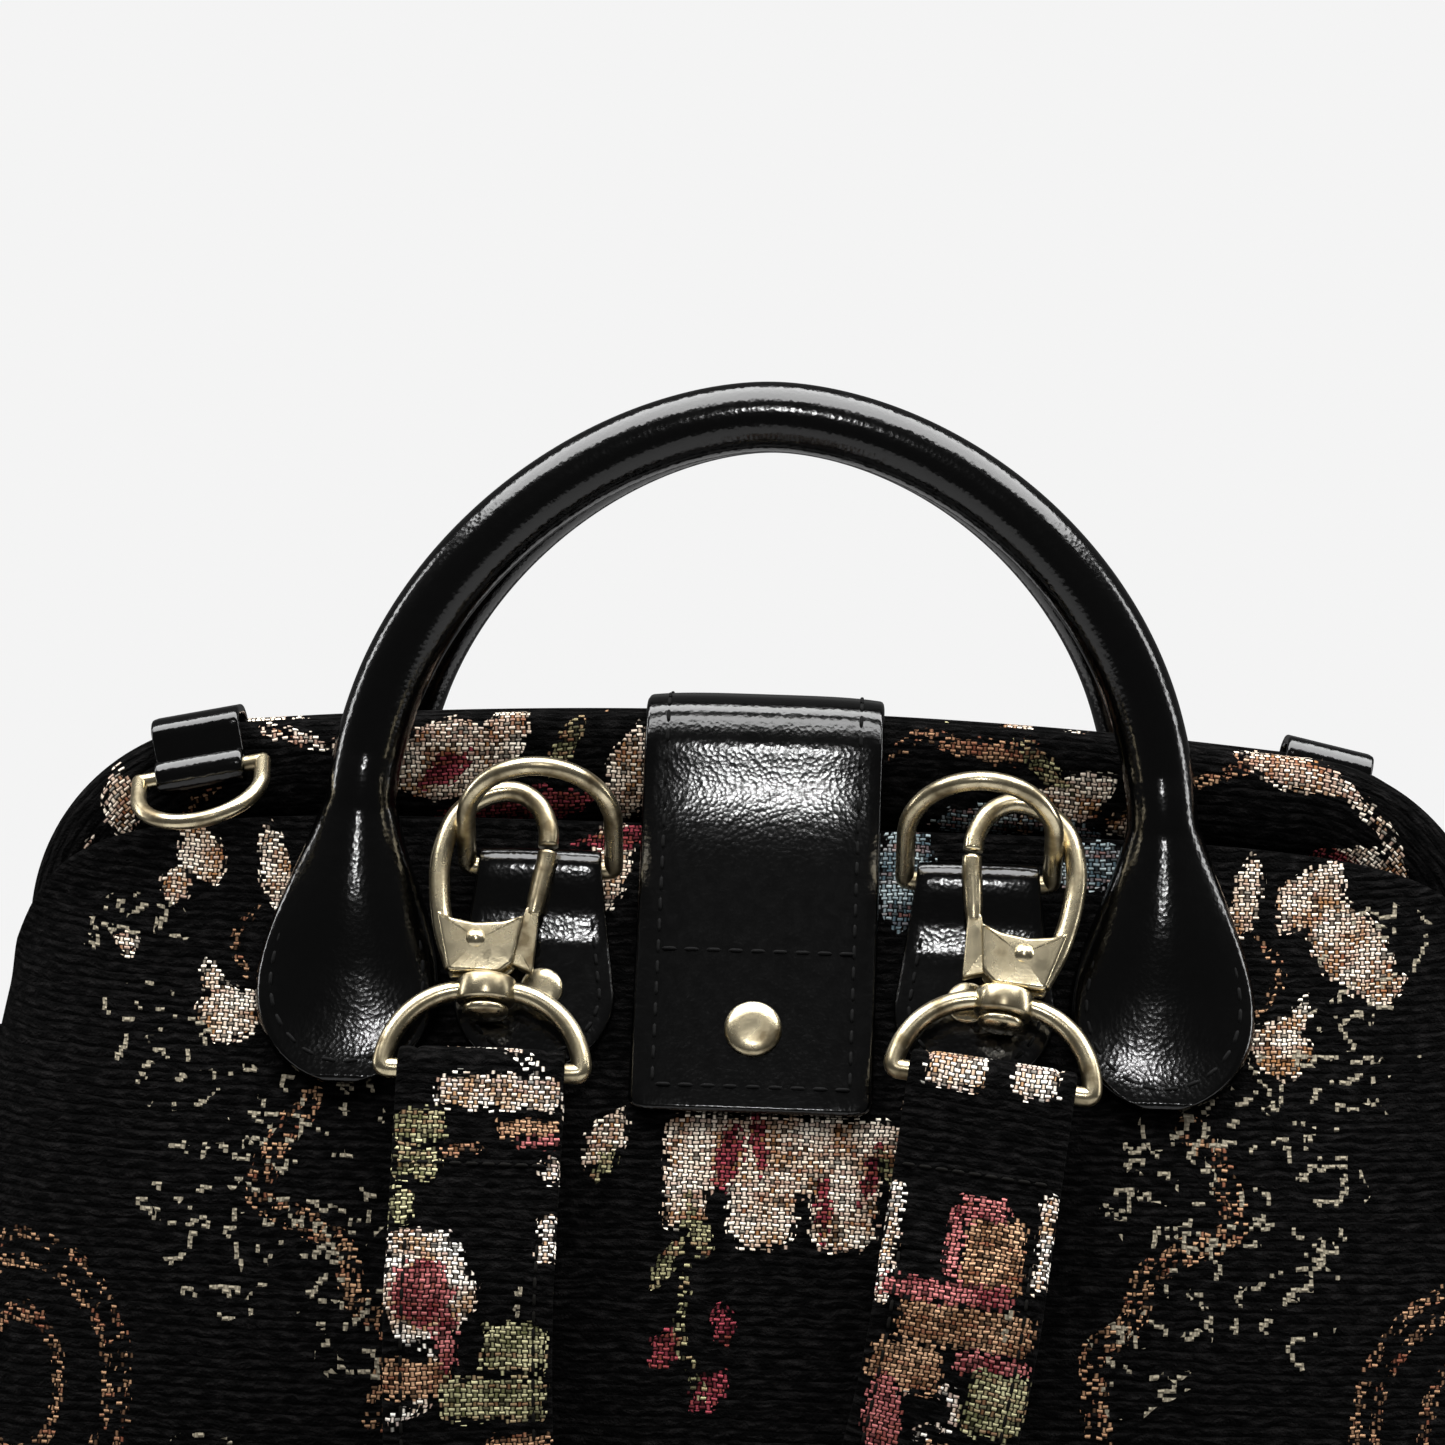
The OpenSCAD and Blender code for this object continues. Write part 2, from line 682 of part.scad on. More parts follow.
// The right run leans inwards until it reaches the floor, from the turn of its clasp to its own lean
function strap_point(p, side) =
    let (down = run_z - max(p[1], top_z + turn_r), f = min(down / lean_soft, 1),
        lean = tan(clasp_turn) * down
            + (tan(strap_lean) - tan(clasp_turn)) * (down < lean_soft ? down * f / 2 : down - lean_soft / 2))
    [side < 0 ? tan(left_lean) * down * f - clasp_centre
        : clasp_centre + turn_shift - end_reach * sin(clasp_turn) - turn_x * (cos(clasp_turn) - 1)
            - lean, p[0], p[1]];

module shoulder_strap(side) {
    path = [for (p = strap_line) strap_point(p, side)];
    color(cloth_rust) skin([for (i = [0:len(path) - 1])
        let (t = tangent(path, i), v = unit([0, t[2], -t[1]]), u = unit(cross(v, t)))
        [for (q = [[1, -1], [1, 1], [-1, 1], [-1, -1]])
            path[i] + u * q[0] * strap_w / 2 + v * q[1] * strap_t / 2]]);
}

// Side rings in leather loops at the mouth's corners: the left one lies over the strap side,
// the right one over the front

// The side rings keep off the handle's legs, round the corner where they have to
side_room = 27.2;
side_turn = asin(max(0, handle_span / 2 + handle_d / 2 + side_room - top_half) / corner_r);
side_r = (side_in + side_wire) / 2;
side_h = side_r + 6;
side_ring_tilt = 118;
side_bend = 1.8;
side_y = mouth_gap / 2 + sleeve_t + lay_gap + 0.3;
side_hang = 9;
side_bore = side_wire / 2 + turn_gap;
side_fold = side_bore + 1.9;
side_leather = 1.9;
side_tail_y = 1.3;

module on_side(side) {
    turn = side < 0 ? [0, 0, 0] : [0, 0, 180];
    rotate(turn) translate([corner_r - mouth_w / 2, 0, bag_h - mouth_sag - corner_r])
        rotate([0, -side_turn, 0])
        translate([0, 0, corner_r]) children();
}

module side_tab(side) {
    path = concat([[-side_y, -side_hang + side_fold]],
        [for (a = [180:-18:90]) [side_bend - side_y + side_bend * cos(a),
            lay_gap + 0.4 - side_bend + side_bend * sin(a)]],
        [[-2.2, lay_gap + 0.4], [-1.5, lay_gap + 0.1], [-side_tail_y, -0.4], [-side_tail_y, -12]]);
    color(leather_black) on_side(side) difference() {
        union() {
            across(side_tab_w) polygon(strip(path, side_leather));
            translate([-side_tab_w / 2, -side_y - side_fold, -side_hang]) rotate([0, 90, 0])
                cylinder(h = side_tab_w, r = side_fold);
            across(side_tab_w) translate([-side_y - side_leather, -side_hang]) square([side_leather, side_fold + 1]);
        }
        translate([-side_tab_w, -side_y - side_fold, -side_hang]) rotate([0, 90, 0])
            cylinder(h = 2 * side_tab_w, r = side_bore);
    }
}

module side_ring(side) {
    color(brass_old) on_side(side) translate([0, -side_y - side_fold, -side_hang])
        rotate([side_ring_tilt, 0, 0]) d_ring(side_r, side_h, side_wire);
}

module ring_tab_left() ring_tab(-1);
module ring_tab_right() ring_tab(1);
module tab_rivet_left() tab_rivet(-1);
module tab_rivet_right() tab_rivet(1);
module strap_ring_left() strap_ring(-1);
module strap_ring_right() strap_ring(1);
module hook_left() hook(-1);
module hook_right() hook(1);
module gate_left() gate(-1);
module gate_right() gate(1);
module gate_pin_left() gate_pin(-1);
module gate_pin_right() gate_pin(1);
module swivel_loop_left() swivel_loop(-1);
module swivel_loop_right() swivel_loop(1);
module strap_end_left() strap_end(-1);
module strap_end_right() strap_end(1);
module shoulder_strap_left() shoulder_strap(-1);
module shoulder_strap_right() shoulder_strap(1);
module side_tab_left() side_tab(-1);
module side_tab_right() side_tab(1);
module side_ring_left() side_ring(-1);
module side_ring_right() side_ring(1);

base_panel();
base_board();
rear_panel();
front_panel();
gusset_left();
gusset_right();
rear_sleeve();
front_sleeve();
rear_frame();
front_frame();
hinge_pin_left();
hinge_pin_right();
rear_handle();
front_handle();
closing_strap_rear();
closing_strap_front();
flap_rivet();
snap_cap();
snap_stud();
ring_tab_left();
ring_tab_right();
tab_rivet_left();
tab_rivet_right();
strap_ring_left();
strap_ring_right();
hook_left();
hook_right();
gate_left();
gate_right();
gate_pin_left();
gate_pin_right();
swivel_loop_left();
swivel_loop_right();
strap_end_left();
strap_end_right();
shoulder_strap_left();
shoulder_strap_right();
side_tab_left();
side_tab_right();
side_ring_left();
side_ring_right();
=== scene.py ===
"""Looks of the tapestry backpack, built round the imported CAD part.

Lengths are millimetres in the CAD's frame: the strap side faces -Y and the floor is z = 0.
"""

import json
import math
from functools import partial

import bpy
import numpy as np
from mathutils import Matrix, Vector


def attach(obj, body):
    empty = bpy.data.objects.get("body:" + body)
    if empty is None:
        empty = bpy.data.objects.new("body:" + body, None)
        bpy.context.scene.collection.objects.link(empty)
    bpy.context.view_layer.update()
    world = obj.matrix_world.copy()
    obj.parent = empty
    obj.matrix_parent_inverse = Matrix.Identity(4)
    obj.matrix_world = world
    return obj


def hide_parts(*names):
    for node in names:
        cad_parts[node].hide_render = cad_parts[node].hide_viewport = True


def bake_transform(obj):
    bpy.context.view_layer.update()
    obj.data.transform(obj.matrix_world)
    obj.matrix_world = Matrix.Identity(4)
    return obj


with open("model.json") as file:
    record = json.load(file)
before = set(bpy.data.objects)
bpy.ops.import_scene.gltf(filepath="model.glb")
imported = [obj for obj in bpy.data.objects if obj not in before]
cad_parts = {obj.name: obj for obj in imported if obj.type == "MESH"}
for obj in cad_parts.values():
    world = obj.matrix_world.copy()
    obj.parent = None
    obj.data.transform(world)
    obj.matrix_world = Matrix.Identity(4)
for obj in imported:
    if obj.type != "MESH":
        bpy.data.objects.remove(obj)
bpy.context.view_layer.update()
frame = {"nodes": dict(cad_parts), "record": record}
MM = 0.001

# Sizes shared with the CAD, in millimetres and degrees
BAG_H, MOUTH_W, BODY_W, BODY_D, BASE_D, BELLY_Z = 270, 296, 326, 148, 136, 40
LEAN = math.radians(24.6)
PANEL_T, SLEEVE_BAND, SLEEVE_T, MOUTH_GAP = 3, 22, 11, 4
CORNER_R, MOUTH_SAG, HINGE_Z = 42, 5, 198
HANDLE_SPAN, HANDLE_RISE, HANDLE_D, TAB_W, TAB_LEN = 161, 60, 14, 37, 57
LEATHER_T, FLAP_W, FLAP_DROP = 2.5, 48, 77
RING_SPAN, RING_DROP, RING_TAB_W, RING_TAB_FOOT, RING_TAB_LEN = 87, 11, 24.4, 32, 46
STRAP_W, STRAP_T, STRAP_LAY = 32.6, 3, 150
SIDE_TAB_W = 18
LAY_GAP = 0.4
SEAM_Z = BAG_H - SLEEVE_BAND
SEAM_D = SLEEVE_T + MOUTH_GAP / 2 + PANEL_T + 0.5
LEAN_Z = SEAM_Z - 58
LEAN_D = SEAM_D + 58 * math.tan(LEAN)
BAR_Z = SEAM_Z - RING_DROP
TOP_HALF = MOUTH_W / 2 - CORNER_R
CROWN_R = (TOP_HALF ** 2 + MOUTH_SAG ** 2) / (2 * MOUTH_SAG)
SIDES = {-1: "left", 1: "right"}


# Meshes from whole arrays

def grid_faces(rows, cols, wrap=False, start=0):
    """Four-sided faces of a grid of points; wrap joins the last column to the first."""
    i, j = np.meshgrid(np.arange(rows - 1), np.arange(cols if wrap else cols - 1), indexing="ij")
    k = (j + 1) % cols
    quads = np.stack([i * cols + j, i * cols + k, (i + 1) * cols + k, (i + 1) * cols + j], -1)
    return quads.reshape(-1, 4) + start


def add_piece(name, verts, faces, materials, uv=None, fields=None, second=None):
    """Makes a closed piece from points in millimetres, with its faces turned outwards.

    uv is one pair per point, fields are named numbers per point, second marks faces of the
    second material.
    """
    verts = np.asarray(verts, float).reshape(-1, 3)
    a, b, c, d = (verts[faces[:, k]] for k in range(4))
    volume = (np.cross(a, b) * c).sum() + (np.cross(a, c) * d).sum()
    if volume < 0:
        faces = faces[:, ::-1]
    mesh = bpy.data.meshes.new(name)
    mesh.from_pydata((verts * MM).tolist(), [], [list(dict.fromkeys(f)) for f in faces.tolist()])
    for material in materials:
        mesh.materials.append(material)
    if second is not None:
        mesh.polygons.foreach_set("material_index", np.asarray(second, np.int32))
    mesh.polygons.foreach_set("use_smooth", np.ones(len(mesh.polygons), bool))
    if uv is not None:
        corner = np.zeros(len(mesh.loops), np.int32)
        mesh.loops.foreach_get("vertex_index", corner)
        layer = mesh.uv_layers.new(name="cloth")
        layer.data.foreach_set("uv", np.asarray(uv, np.float32).reshape(-1, 2)[corner].ravel())
    for key, value in (fields or {}).items():
        data = mesh.attributes.new(key, "FLOAT", "POINT").data
        data.foreach_set("value", np.asarray(value, np.float32).ravel())
    obj = bpy.data.objects.new(name, mesh)
    bpy.context.scene.collection.objects.link(obj)
    return obj


def hang(piece, hold):
    """Rides a piece on the body that hold names, or calls hold on it where that is a function."""
    if callable(hold):
        hold(piece)
    else:
        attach(piece, hold)


def dressed(name, shape, slot, hold, *nodes):
    """A leather or brass piece from its points and faces, in place of the nodes that it replaces."""
    piece = add_piece(name, *shape, [SLOT_LOOKS[slot]])
    hang(piece, hold)
    if nodes:
        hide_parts(*nodes)


def unit(v):
    """Vectors scaled to length 1."""
    return v / np.maximum(np.linalg.norm(v, axis=-1, keepdims=True), 1e-9)


def smooth(x):
    """Ramp from 0 to 1 that starts and ends level: 3x^2 - 2x^3."""
    x = np.clip(x, 0, 1)
    return x * x * (3 - 2 * x)


def along(path):
    """Length along a path at each of its points."""
    return np.concatenate([[0], np.cumsum(np.linalg.norm(np.diff(path, axis=0), axis=1))])


def resample(path, step):
    """The path again, with points about one step apart."""
    path = np.asarray(path, float)
    s = along(path)
    t = np.linspace(0, s[-1], max(int(s[-1] / step), 2) + 1)
    return np.stack([np.interp(t, s, path[:, k]) for k in range(path.shape[1])], 1)


def averaged(path, n):
    """Each point's mean with its n neighbours on either side, weighted by a raised cosine."""
    window = np.hanning(2 * n + 3)[1:-1]
    return np.stack([np.convolve(line, window / window.sum(), "valid") for line in path.T], 1)


def rounded(path, step, reach):
    """A bent line with its corners eased over a reach."""
    fine = resample(path, step)
    n = int(reach / step)
    return averaged(np.vstack([2 * fine[0] - fine[n:0:-1], fine, 2 * fine[-1] - fine[-2:-n - 2:-1]]), n)


def curve(points, step):
    """Smooth curve through a few points, a cubic over each gap, sampled about one step apart."""
    p = np.asarray(points, float)
    p = np.vstack([2 * p[0] - p[1], p, 2 * p[-1] - p[-2]])
    t = np.linspace(0, 1, 24, endpoint=False)[:, None]
    runs = []
    for a, b, c, d in zip(p[:-3], p[1:-2], p[2:-1], p[3:]):
        runs.append(0.5 * (2 * b + (c - a) * t + (2 * a - 5 * b + 4 * c - d) * t ** 2
                           + (3 * b - a - 3 * c + d) * t ** 3))
    return resample(np.vstack(runs + [p[-2:-1]]), step)


def sweep(path, u, profile):
    """Rings of a profile carried along a path: (across, out) pairs on the axes u and tangent x u."""
    t = unit(np.gradient(path, axis=0))
    u = unit(u - (u * t).sum(1, keepdims=True) * t)
    v = np.cross(t, u)
    profile = np.broadcast_to(profile, (len(path),) + np.shape(profile)[-2:])
    return path[:, None] + profile[..., :1] * u[:, None] + profile[..., 1:] * v[:, None]


def capped(rings):
    """Points and faces of a closed solid through rings of points, with fanned end caps."""
    n, k = rings.shape[:2]
    verts = np.vstack([rings.reshape(-1, 3), rings[0].mean(0), rings[-1].mean(0)])
    j = np.arange(k)
    nxt = (j + 1) % k
    ends = [np.stack([nxt, j, 0 * j + n * k, 0 * j + n * k], 1),
            np.stack([j, nxt, 0 * j + 1, 0 * j + 1], 1) + (n - 1) * k]
    ends[1][:, 2:] = n * k + 1
    return verts, np.vstack([grid_faces(n, k, wrap=True)] + ends)


def ribbon(width, thick, parts=12, puff=0.0, edge=0.35):
    """Section of a strap: a flat strip with rounded edges, puffed on its outer side."""
    half, r = width / 2, np.asarray(thick) / 2
    x = np.linspace(-1, 1, parts)
    top = np.stack([x * (half - edge * thick), r + puff * (1 - x ** 4)], 1)
    low = np.stack([x[::-1] * (half - edge * thick), -r + 0 * x], 1)
    a = np.linspace(math.pi / 2, -math.pi / 2, 7)[1:-1]
    right = np.stack([half - edge * thick + edge * thick * np.cos(a), r * np.sin(a)], 1)
    left = np.stack([-right[::-1, 0], right[::-1, 1]], 1)
    return np.vstack([top, right, low, left])


def stitches(name, path, normal, hold, pitch=4.4, length=3.0, width=0.75, material=None):
    """Thread stitches along a path: each is a short spindle that dips at both ends.

    hold is the body that they ride on, or a function that is called on them.
    """
    path, normal = np.asarray(path, float), np.asarray(normal, float)
    s = along(path)
    at = np.arange(pitch / 2, s[-1], pitch)
    place = np.stack([np.interp(at, s, path[:, k]) for k in range(3)], 1)
    n = unit(np.stack([np.interp(at, s, normal[:, k]) for k in range(3)], 1))
    t = unit(np.stack([np.interp(at, s, np.gradient(path, axis=0)[:, k]) for k in range(3)], 1))
    b = np.cross(n, t)
    x = np.linspace(-1, 1, 9)
    ring = np.linspace(0, 2 * math.pi, 8, endpoint=False)
    r = width / 2 * np.sqrt(np.maximum(1 - x ** 4, 0.02))
    lift = 0.25 * width * (1 - 1.6 * x ** 4)
    y, z = r[:, None] * np.cos(ring), lift[:, None] + 0.8 * r[:, None] * np.sin(ring)
    x = np.broadcast_to(x[:, None] * length / 2, y.shape)
    verts = (place[:, None, None] + x[..., None] * t[:, None, None] + y[..., None] * b[:, None, None]
             + z[..., None] * n[:, None, None])
    rows, cols = y.shape
    one = grid_faces(rows, cols, wrap=True)
    faces = np.vstack([one + i * rows * cols for i in range(len(at))])
    hang(add_piece(name, verts, faces, [material or THREAD]), hold)


# Colours and materials

def linear(code):
    """Linear RGBA of an sRGB hex colour."""
    parts = [int(code[i:i + 2], 16) / 255 for i in (1, 3, 5)]
    return [c / 12.92 if c <= 0.04045 else ((c + 0.055) / 1.055) ** 2.4 for c in parts] + [1.0]


def fill(tree, made, inputs):
    """Gives a node's inputs, by number or by name, their links, values or hex colours."""
    for key, value in inputs.items() if isinstance(inputs, dict) else enumerate(inputs):
        if isinstance(value, bpy.types.NodeSocket):
            tree.links.new(value, made.inputs[key])
        else:
            made.inputs[key].default_value = linear(value) if isinstance(value, str) else value


def node(tree, kind, inputs=(), out=0, **settings):
    """Adds a node with its settings, fills its inputs and gives one of its outputs.

    A kind such as Math.ADD names the node's operation after the dot.
    """
    kind, _, operation = kind.partition(".")
    made = tree.nodes.new("ShaderNode" + kind)
    if operation:
        made.operation = operation
    for key, value in settings.items():
        setattr(made, key, value)
    fill(tree, made, inputs)
    return made.outputs[out]


def new_material(name):
    """An empty material: itself, a function that adds a node to it, one that fills its shader."""
    material = bpy.data.materials.new(name)
    material.use_nodes = True
    tree = material.node_tree
    return material, partial(node, tree), partial(fill, tree, tree.nodes["Principled BSDF"])


def plain(name, colour, roughness, metallic=0.0, specular=0.5):
    """A material of one even colour."""
    material, _, finish = new_material(name)
    finish({"Base Color": colour, "Roughness": roughness, "Metallic": metallic,
            "Specular IOR Level": specular})
    return material


# Sizes of the cloth's patterns, in millimetres: threads lie about this far apart in the photograph,
# and show in the render as they are
THREAD_PITCH, RIB_PITCH, WARP_PITCH = 0.85, 2.0, 0.85 / 0.8
SWAY_SIZE, SWAY_REACH, FUZZ_SIZE, STREAK_SIZE, HAIR_SIZE = 6.25, 1.6, 0.625, 0.90909, 0.25
SHADE_SIZE, SCROLL_SIZE, GAP_SIZE, PATCH_SIZE, EDGE_JITTER = 7.14286, 9.09091, 3.33333, 20, 2.0
# The gap colour is painted shade in the gaps between threads and down their sides
# The second pile colour is a painted glint on the black pile
BLACK_PILE, PILE_GLINT, GAP_SHADE, STRAY_THREAD, FILIGREE = "#010101", "#1C1B1B", "#060403", "#6E3A2C", "#8C8473"
# Each yarn's darkest and lightest colour; the straps' copy is paler, painted extra light on the straps
MOTIF_COLOURS = {"cream": ("#8C6442", "#FFF4E2"), "rust": ("#3A261B", "#A88466"),
                 "red": ("#360D14", "#98424C"), "green": ("#3C3C28", "#A8A27C"),
                 "blue": ("#42525A", "#A4B0B2")}
STRAP_COLOURS_PAINTED_LIGHTER = {"cream": ("#B08A66", "#FFFBF2"), "rust": ("#64452F", "#CDA482"),
                 "red": ("#5A1E24", "#BE7472"), "green": ("#5A5A3C", "#CCC69C"),
                 "blue": ("#42525A", "#A4B0B2")}
RGBA = {"out": 2, "data_type": "RGBA"}


def tapestry(name, colours):
    """Black ribbed chenille with plain-weave motifs, cut out by the fields on the mesh.

    Each motif is a field in millimetres, positive inside. A random step a thread wide makes the
    motif's edge run from thread to thread. Light weft and darker warp lie on top by turns; each
    thread is painted light on its top and dark down its sides, and the holes between them are painted
    near-black, as painted shade. The filigree runs between high and low parts of a slow noise, thread
    by thread. Without colours it is the bare ground, on Object coordinates.
    """
    material, add, finish = new_material(name)

    def wave(length, pitch):
        """Height of parallel threads, 1 on each thread and 0 between them: |sin(pi length / pitch)|."""
        turns = add("Math.MULTIPLY", (length, math.pi / pitch))
        return add("Math.ABSOLUTE", (add("Math.SINE", (turns,)),))

    if colours:
        place = add("UVMap", uv_map="cloth")
    else:
        metres = add("TexCoord", out="Object")
        place = add("VectorMath.MULTIPLY", (metres, (1 / MM,) * 3))
    sway = add("TexNoise", {"Vector": place, "Scale": 1 / SWAY_SIZE, "Detail": 2.0}, out="Color")
    sway = add("VectorMath.SUBTRACT", (sway, (0.5,) * 3))
    sway = add("VectorMath.MULTIPLY", (sway, (SWAY_REACH,) * 3))
    cloth = add("VectorMath.ADD", (place, sway))
    u, v = (add("SeparateXYZ", (cloth,), out=axis) for axis in "XY")

    # Chenille pile: soft ribs across the cloth, broken by fuzz and by streaks along the ribs; the rib tops
    # and streaks are painted lighter, a painted glint on the black pile
    fuzz = add("TexNoise", {"Vector": cloth, "Scale": 1 / FUZZ_SIZE, "Detail": 5.0})
    drawn = add("VectorMath.MULTIPLY", (cloth, (0.25, 1.0, 1.0)))
    streak = add("TexNoise", {"Vector": drawn, "Scale": 1 / STREAK_SIZE, "Detail": 4.0})
    streak = add("MapRange", (streak, 0.45, 0.8))
    hair = add("TexNoise", {"Vector": cloth, "Scale": 1 / HAIR_SIZE, "Detail": 3.0})
    hair = add("Math.MULTIPLY", (hair, 0.35))
    rib = add("Math.ADD", (wave(v, RIB_PITCH), 0.4))
    pile = add("Math.MULTIPLY_ADD", (rib, fuzz, hair))
    # Painted highlight: the pile's grey colour is laid on the rib tops and streaks as a glint
    glint = add("Math.MULTIPLY", (pile, streak))
    colour = add("Mix", {0: glint, 6: BLACK_PILE, 7: PILE_GLINT}, **RGBA)
    height = pile
    if colours:
        # Number of the thread each way, and which of the two lies on top
        row, col = (add("Math.FLOOR", (add("Math.MULTIPLY", (length, 1 / pitch)),))
                    for length, pitch in ((v, THREAD_PITCH), (u, WARP_PITCH)))
        turn = add("Math.ADD", (row, col))
        turn = add("Math.FLOORED_MODULO", (turn, 2.0))
        warp = add("Math.MULTIPLY", (wave(u, WARP_PITCH), 0.75))
        weave = add("Mix", {0: turn, 2: wave(v, THREAD_PITCH), 3: warp})

        # One chance by row, two by crossing and one more by row
        seeds = [row]
        for first, spread, second in ((row, 71.3, col), (col, 37.7, row), (row, 3.7, 0.5)):
            far = add("Math.MULTIPLY", (first, spread))
            seeds.append(add("Math.ADD", (far, second)))
        by_row, cell, other, lot = (add("TexWhiteNoise", {"W": seed}, noise_dimensions="1D")
                                    for seed in seeds)

        # Threads are painted light on top and dark down their sides, as painted shade; some are sunk and
        # painted dark as shade; stray brown ones run through
        whole = add("Math.GREATER_THAN", (other, 0.13))
        whole = add("Math.MULTIPLY_ADD", (whole, 0.8, 0.2))
        thread = add("MapRange", (weave, 0.36, 0.76))
        thread = add("Math.MULTIPLY", (thread, whole))
        shade = add("TexNoise", {"Vector": place, "Scale": 1 / SHADE_SIZE, "Detail": 2.0})
        shade = add("Math.MULTIPLY_ADD", (shade, 2.6, -1.3))
        weft_tone = add("Math.ADD", (by_row, cell))
        weft_tone = add("Math.MULTIPLY_ADD", (weft_tone, 0.425, 0.2))
        warp_tone = add("Math.MULTIPLY", (cell, 0.55))
        tone = add("Mix", {0: turn, 2: weft_tone, 3: warp_tone})
        tone = add("Math.ADD", (shade, tone))
        stray = add("Math.GREATER_THAN", (lot, 0.72))
        stray = add("Math.MULTIPLY", (stray, other))
        stray = add("Math.MULTIPLY", (stray, 0.7))
        jitter = add("Math.MULTIPLY_ADD", (cell, EDGE_JITTER, -EDGE_JITTER / 2))
        woven, motif = 0.0, "#000000"
        for key, (dark, light) in colours.items():
            field = add("Attribute", out="Fac", attribute_name=key)
            inside = add("Math.ADD", (field, jitter))
            inside = add("Math.GREATER_THAN", (inside, 0.0))
            yarn = add("Mix", {0: tone, 6: dark, 7: light}, **RGBA)
            yarn = add("Mix", {0: stray, 6: yarn, 7: STRAY_THREAD}, **RGBA)
            motif = add("Mix", {0: inside, 6: motif, 7: yarn}, **RGBA)
            woven = add("Math.MAXIMUM", (woven, inside))

        # Filigree: single threads where a slow noise changes from one thread to the next
        step = add("VectorMath.SNAP", (cloth, (THREAD_PITCH, THREAD_PITCH, 1.0)))
        sides = []
        for move in ((0, 0, 0), (THREAD_PITCH, 0, 0), (0, THREAD_PITCH, 0)):
            near = add("VectorMath.ADD", (step, move))
            near = add("TexNoise", {"Vector": near, "Scale": 1 / SCROLL_SIZE, "Detail": 2.0})
            sides.append(add("Math.GREATER_THAN", (near, 0.5)))
        tick = 0.0
        for side in sides[1:]:
            change = add("Math.SUBTRACT", (sides[0], side))
            change = add("Math.ABSOLUTE", (change,))
            tick = add("Math.MAXIMUM", (tick, change))
        broken = add("TexNoise", {"Vector": step, "Scale": 1 / GAP_SIZE, "Detail": 1.0})
        broken = add("Math.GREATER_THAN", (broken, 0.5))
        region = add("Attribute", out="Fac", attribute_name="ticks")
        patch = add("TexNoise", {"Vector": place, "Scale": 1 / PATCH_SIZE, "Detail": 2.0})
        patch = add("Math.MULTIPLY_ADD", (patch, 40.0, region))
        patch = add("Math.GREATER_THAN", (patch, 20.0))
        for limit in (broken, patch):
            tick = add("Math.MULTIPLY", (tick, limit))
        motif = add("Mix", {0: tick, 6: motif, 7: FILIGREE}, **RGBA)
        woven = add("Math.MAXIMUM", (woven, tick))
        tick = add("Math.MULTIPLY", (tick, 0.7))
        thread = add("Math.MAXIMUM", (thread, tick))
        # Painted shade: the colour falls to the near-black gap colour down each thread's sides, in the gaps
        # and on sunk threads
        motif = add("Mix", {0: thread, 6: GAP_SHADE, 7: motif}, **RGBA)
        colour = add("Mix", {0: woven, 6: colour, 7: motif}, **RGBA)
        flat = add("Math.MULTIPLY", (weave, 0.5))
        height = add("Mix", {0: woven, 2: pile, 3: flat})
    bump = add("Bump", {"Height": height, "Strength": 0.9, "Distance": 0.8 * MM})
    finish({"Base Color": colour, "Normal": bump, "Roughness": 0.95, "Specular IOR Level": 0.03})
    return material


# The real pores and brush marks are finer than these sizes in millimetres; they are drawn coarser so
# that they show
PORE_SIZE, CREASE_SIZE, RUB_SIZE, BRUSH_SIZE = 0.90909, 2.38095, 5.88235, 0.66667


def leather(name):
    """Glazed black cowhide: sharp highlights, broken up by pores and soft creases."""
    material, add, finish = new_material(name)
    place = add("TexCoord", out="Object")
    pores = add("TexVoronoi", {"Vector": place, "Scale": 1 / (PORE_SIZE * MM)}, feature="F1")
    crease = add("TexNoise", {"Vector": place, "Scale": 1 / (CREASE_SIZE * MM), "Detail": 6.0})
    height = add("Math.MULTIPLY_ADD", (pores, 0.6, crease))
    bump = add("Bump", {"Height": height, "Strength": 0.2, "Distance": 0.25 * MM})
    rough = add("MapRange", {0: crease, 3: 0.1, 4: 0.18})
    finish({"Base Color": "#010101", "Normal": bump, "Roughness": rough, "Specular IOR Level": 0.42})
    return material


def old_brass(name):
    """Antique plated brass: rubbed bright in places, brown and duller in others, finely brushed."""
    material, add, finish = new_material(name)
    place = add("TexCoord", out="Object")
    rub = add("TexNoise", {"Vector": place, "Scale": 1 / (RUB_SIZE * MM), "Detail": 6.0})
    brush = add("TexNoise", {"Vector": place, "Scale": 1 / (BRUSH_SIZE * MM), "Detail": 2.0})
    share = add("MapRange", (rub, 0.34, 0.64))
    colour = add("Mix", {0: share, 6: "#655A45", 7: "#DACDAC"}, **RGBA)
    rough = add("MapRange", (rub, 0.3, 0.7, 0.38, 0.18))
    bump = add("Bump", {"Height": brush, "Strength": 0.18, "Distance": 0.1 * MM})
    finish({"Base Color": colour, "Normal": bump, "Roughness": rough, "Metallic": 1.0})
    return material


CLOTH = tapestry("chenille_tapestry", MOTIF_COLOURS)
PLAIN_CLOTH = tapestry("plain_chenille", None)
# The straps' tapestry takes the paler copy of the yarn colours: painted extra light
STRAP_CLOTH = tapestry("strap_tapestry", STRAP_COLOURS_PAINTED_LIGHTER)
LEATHER = leather("glazed_cowhide")
BRASS = old_brass("antique_brass")
# Dull brown cotton twill, which throws almost no light back
LINING = plain("cotton_lining", "#2A211C", 0.9)
# Drawn nickel-plated steel, satin rather than mirror bright
STEEL = plain("nickel_plated_steel", "#9A9CA0", 0.35, metallic=1.0)
# Grey-black fibreboard with a dull pressed face
BOARD = plain("fibreboard", "#1C1A18", 0.8)
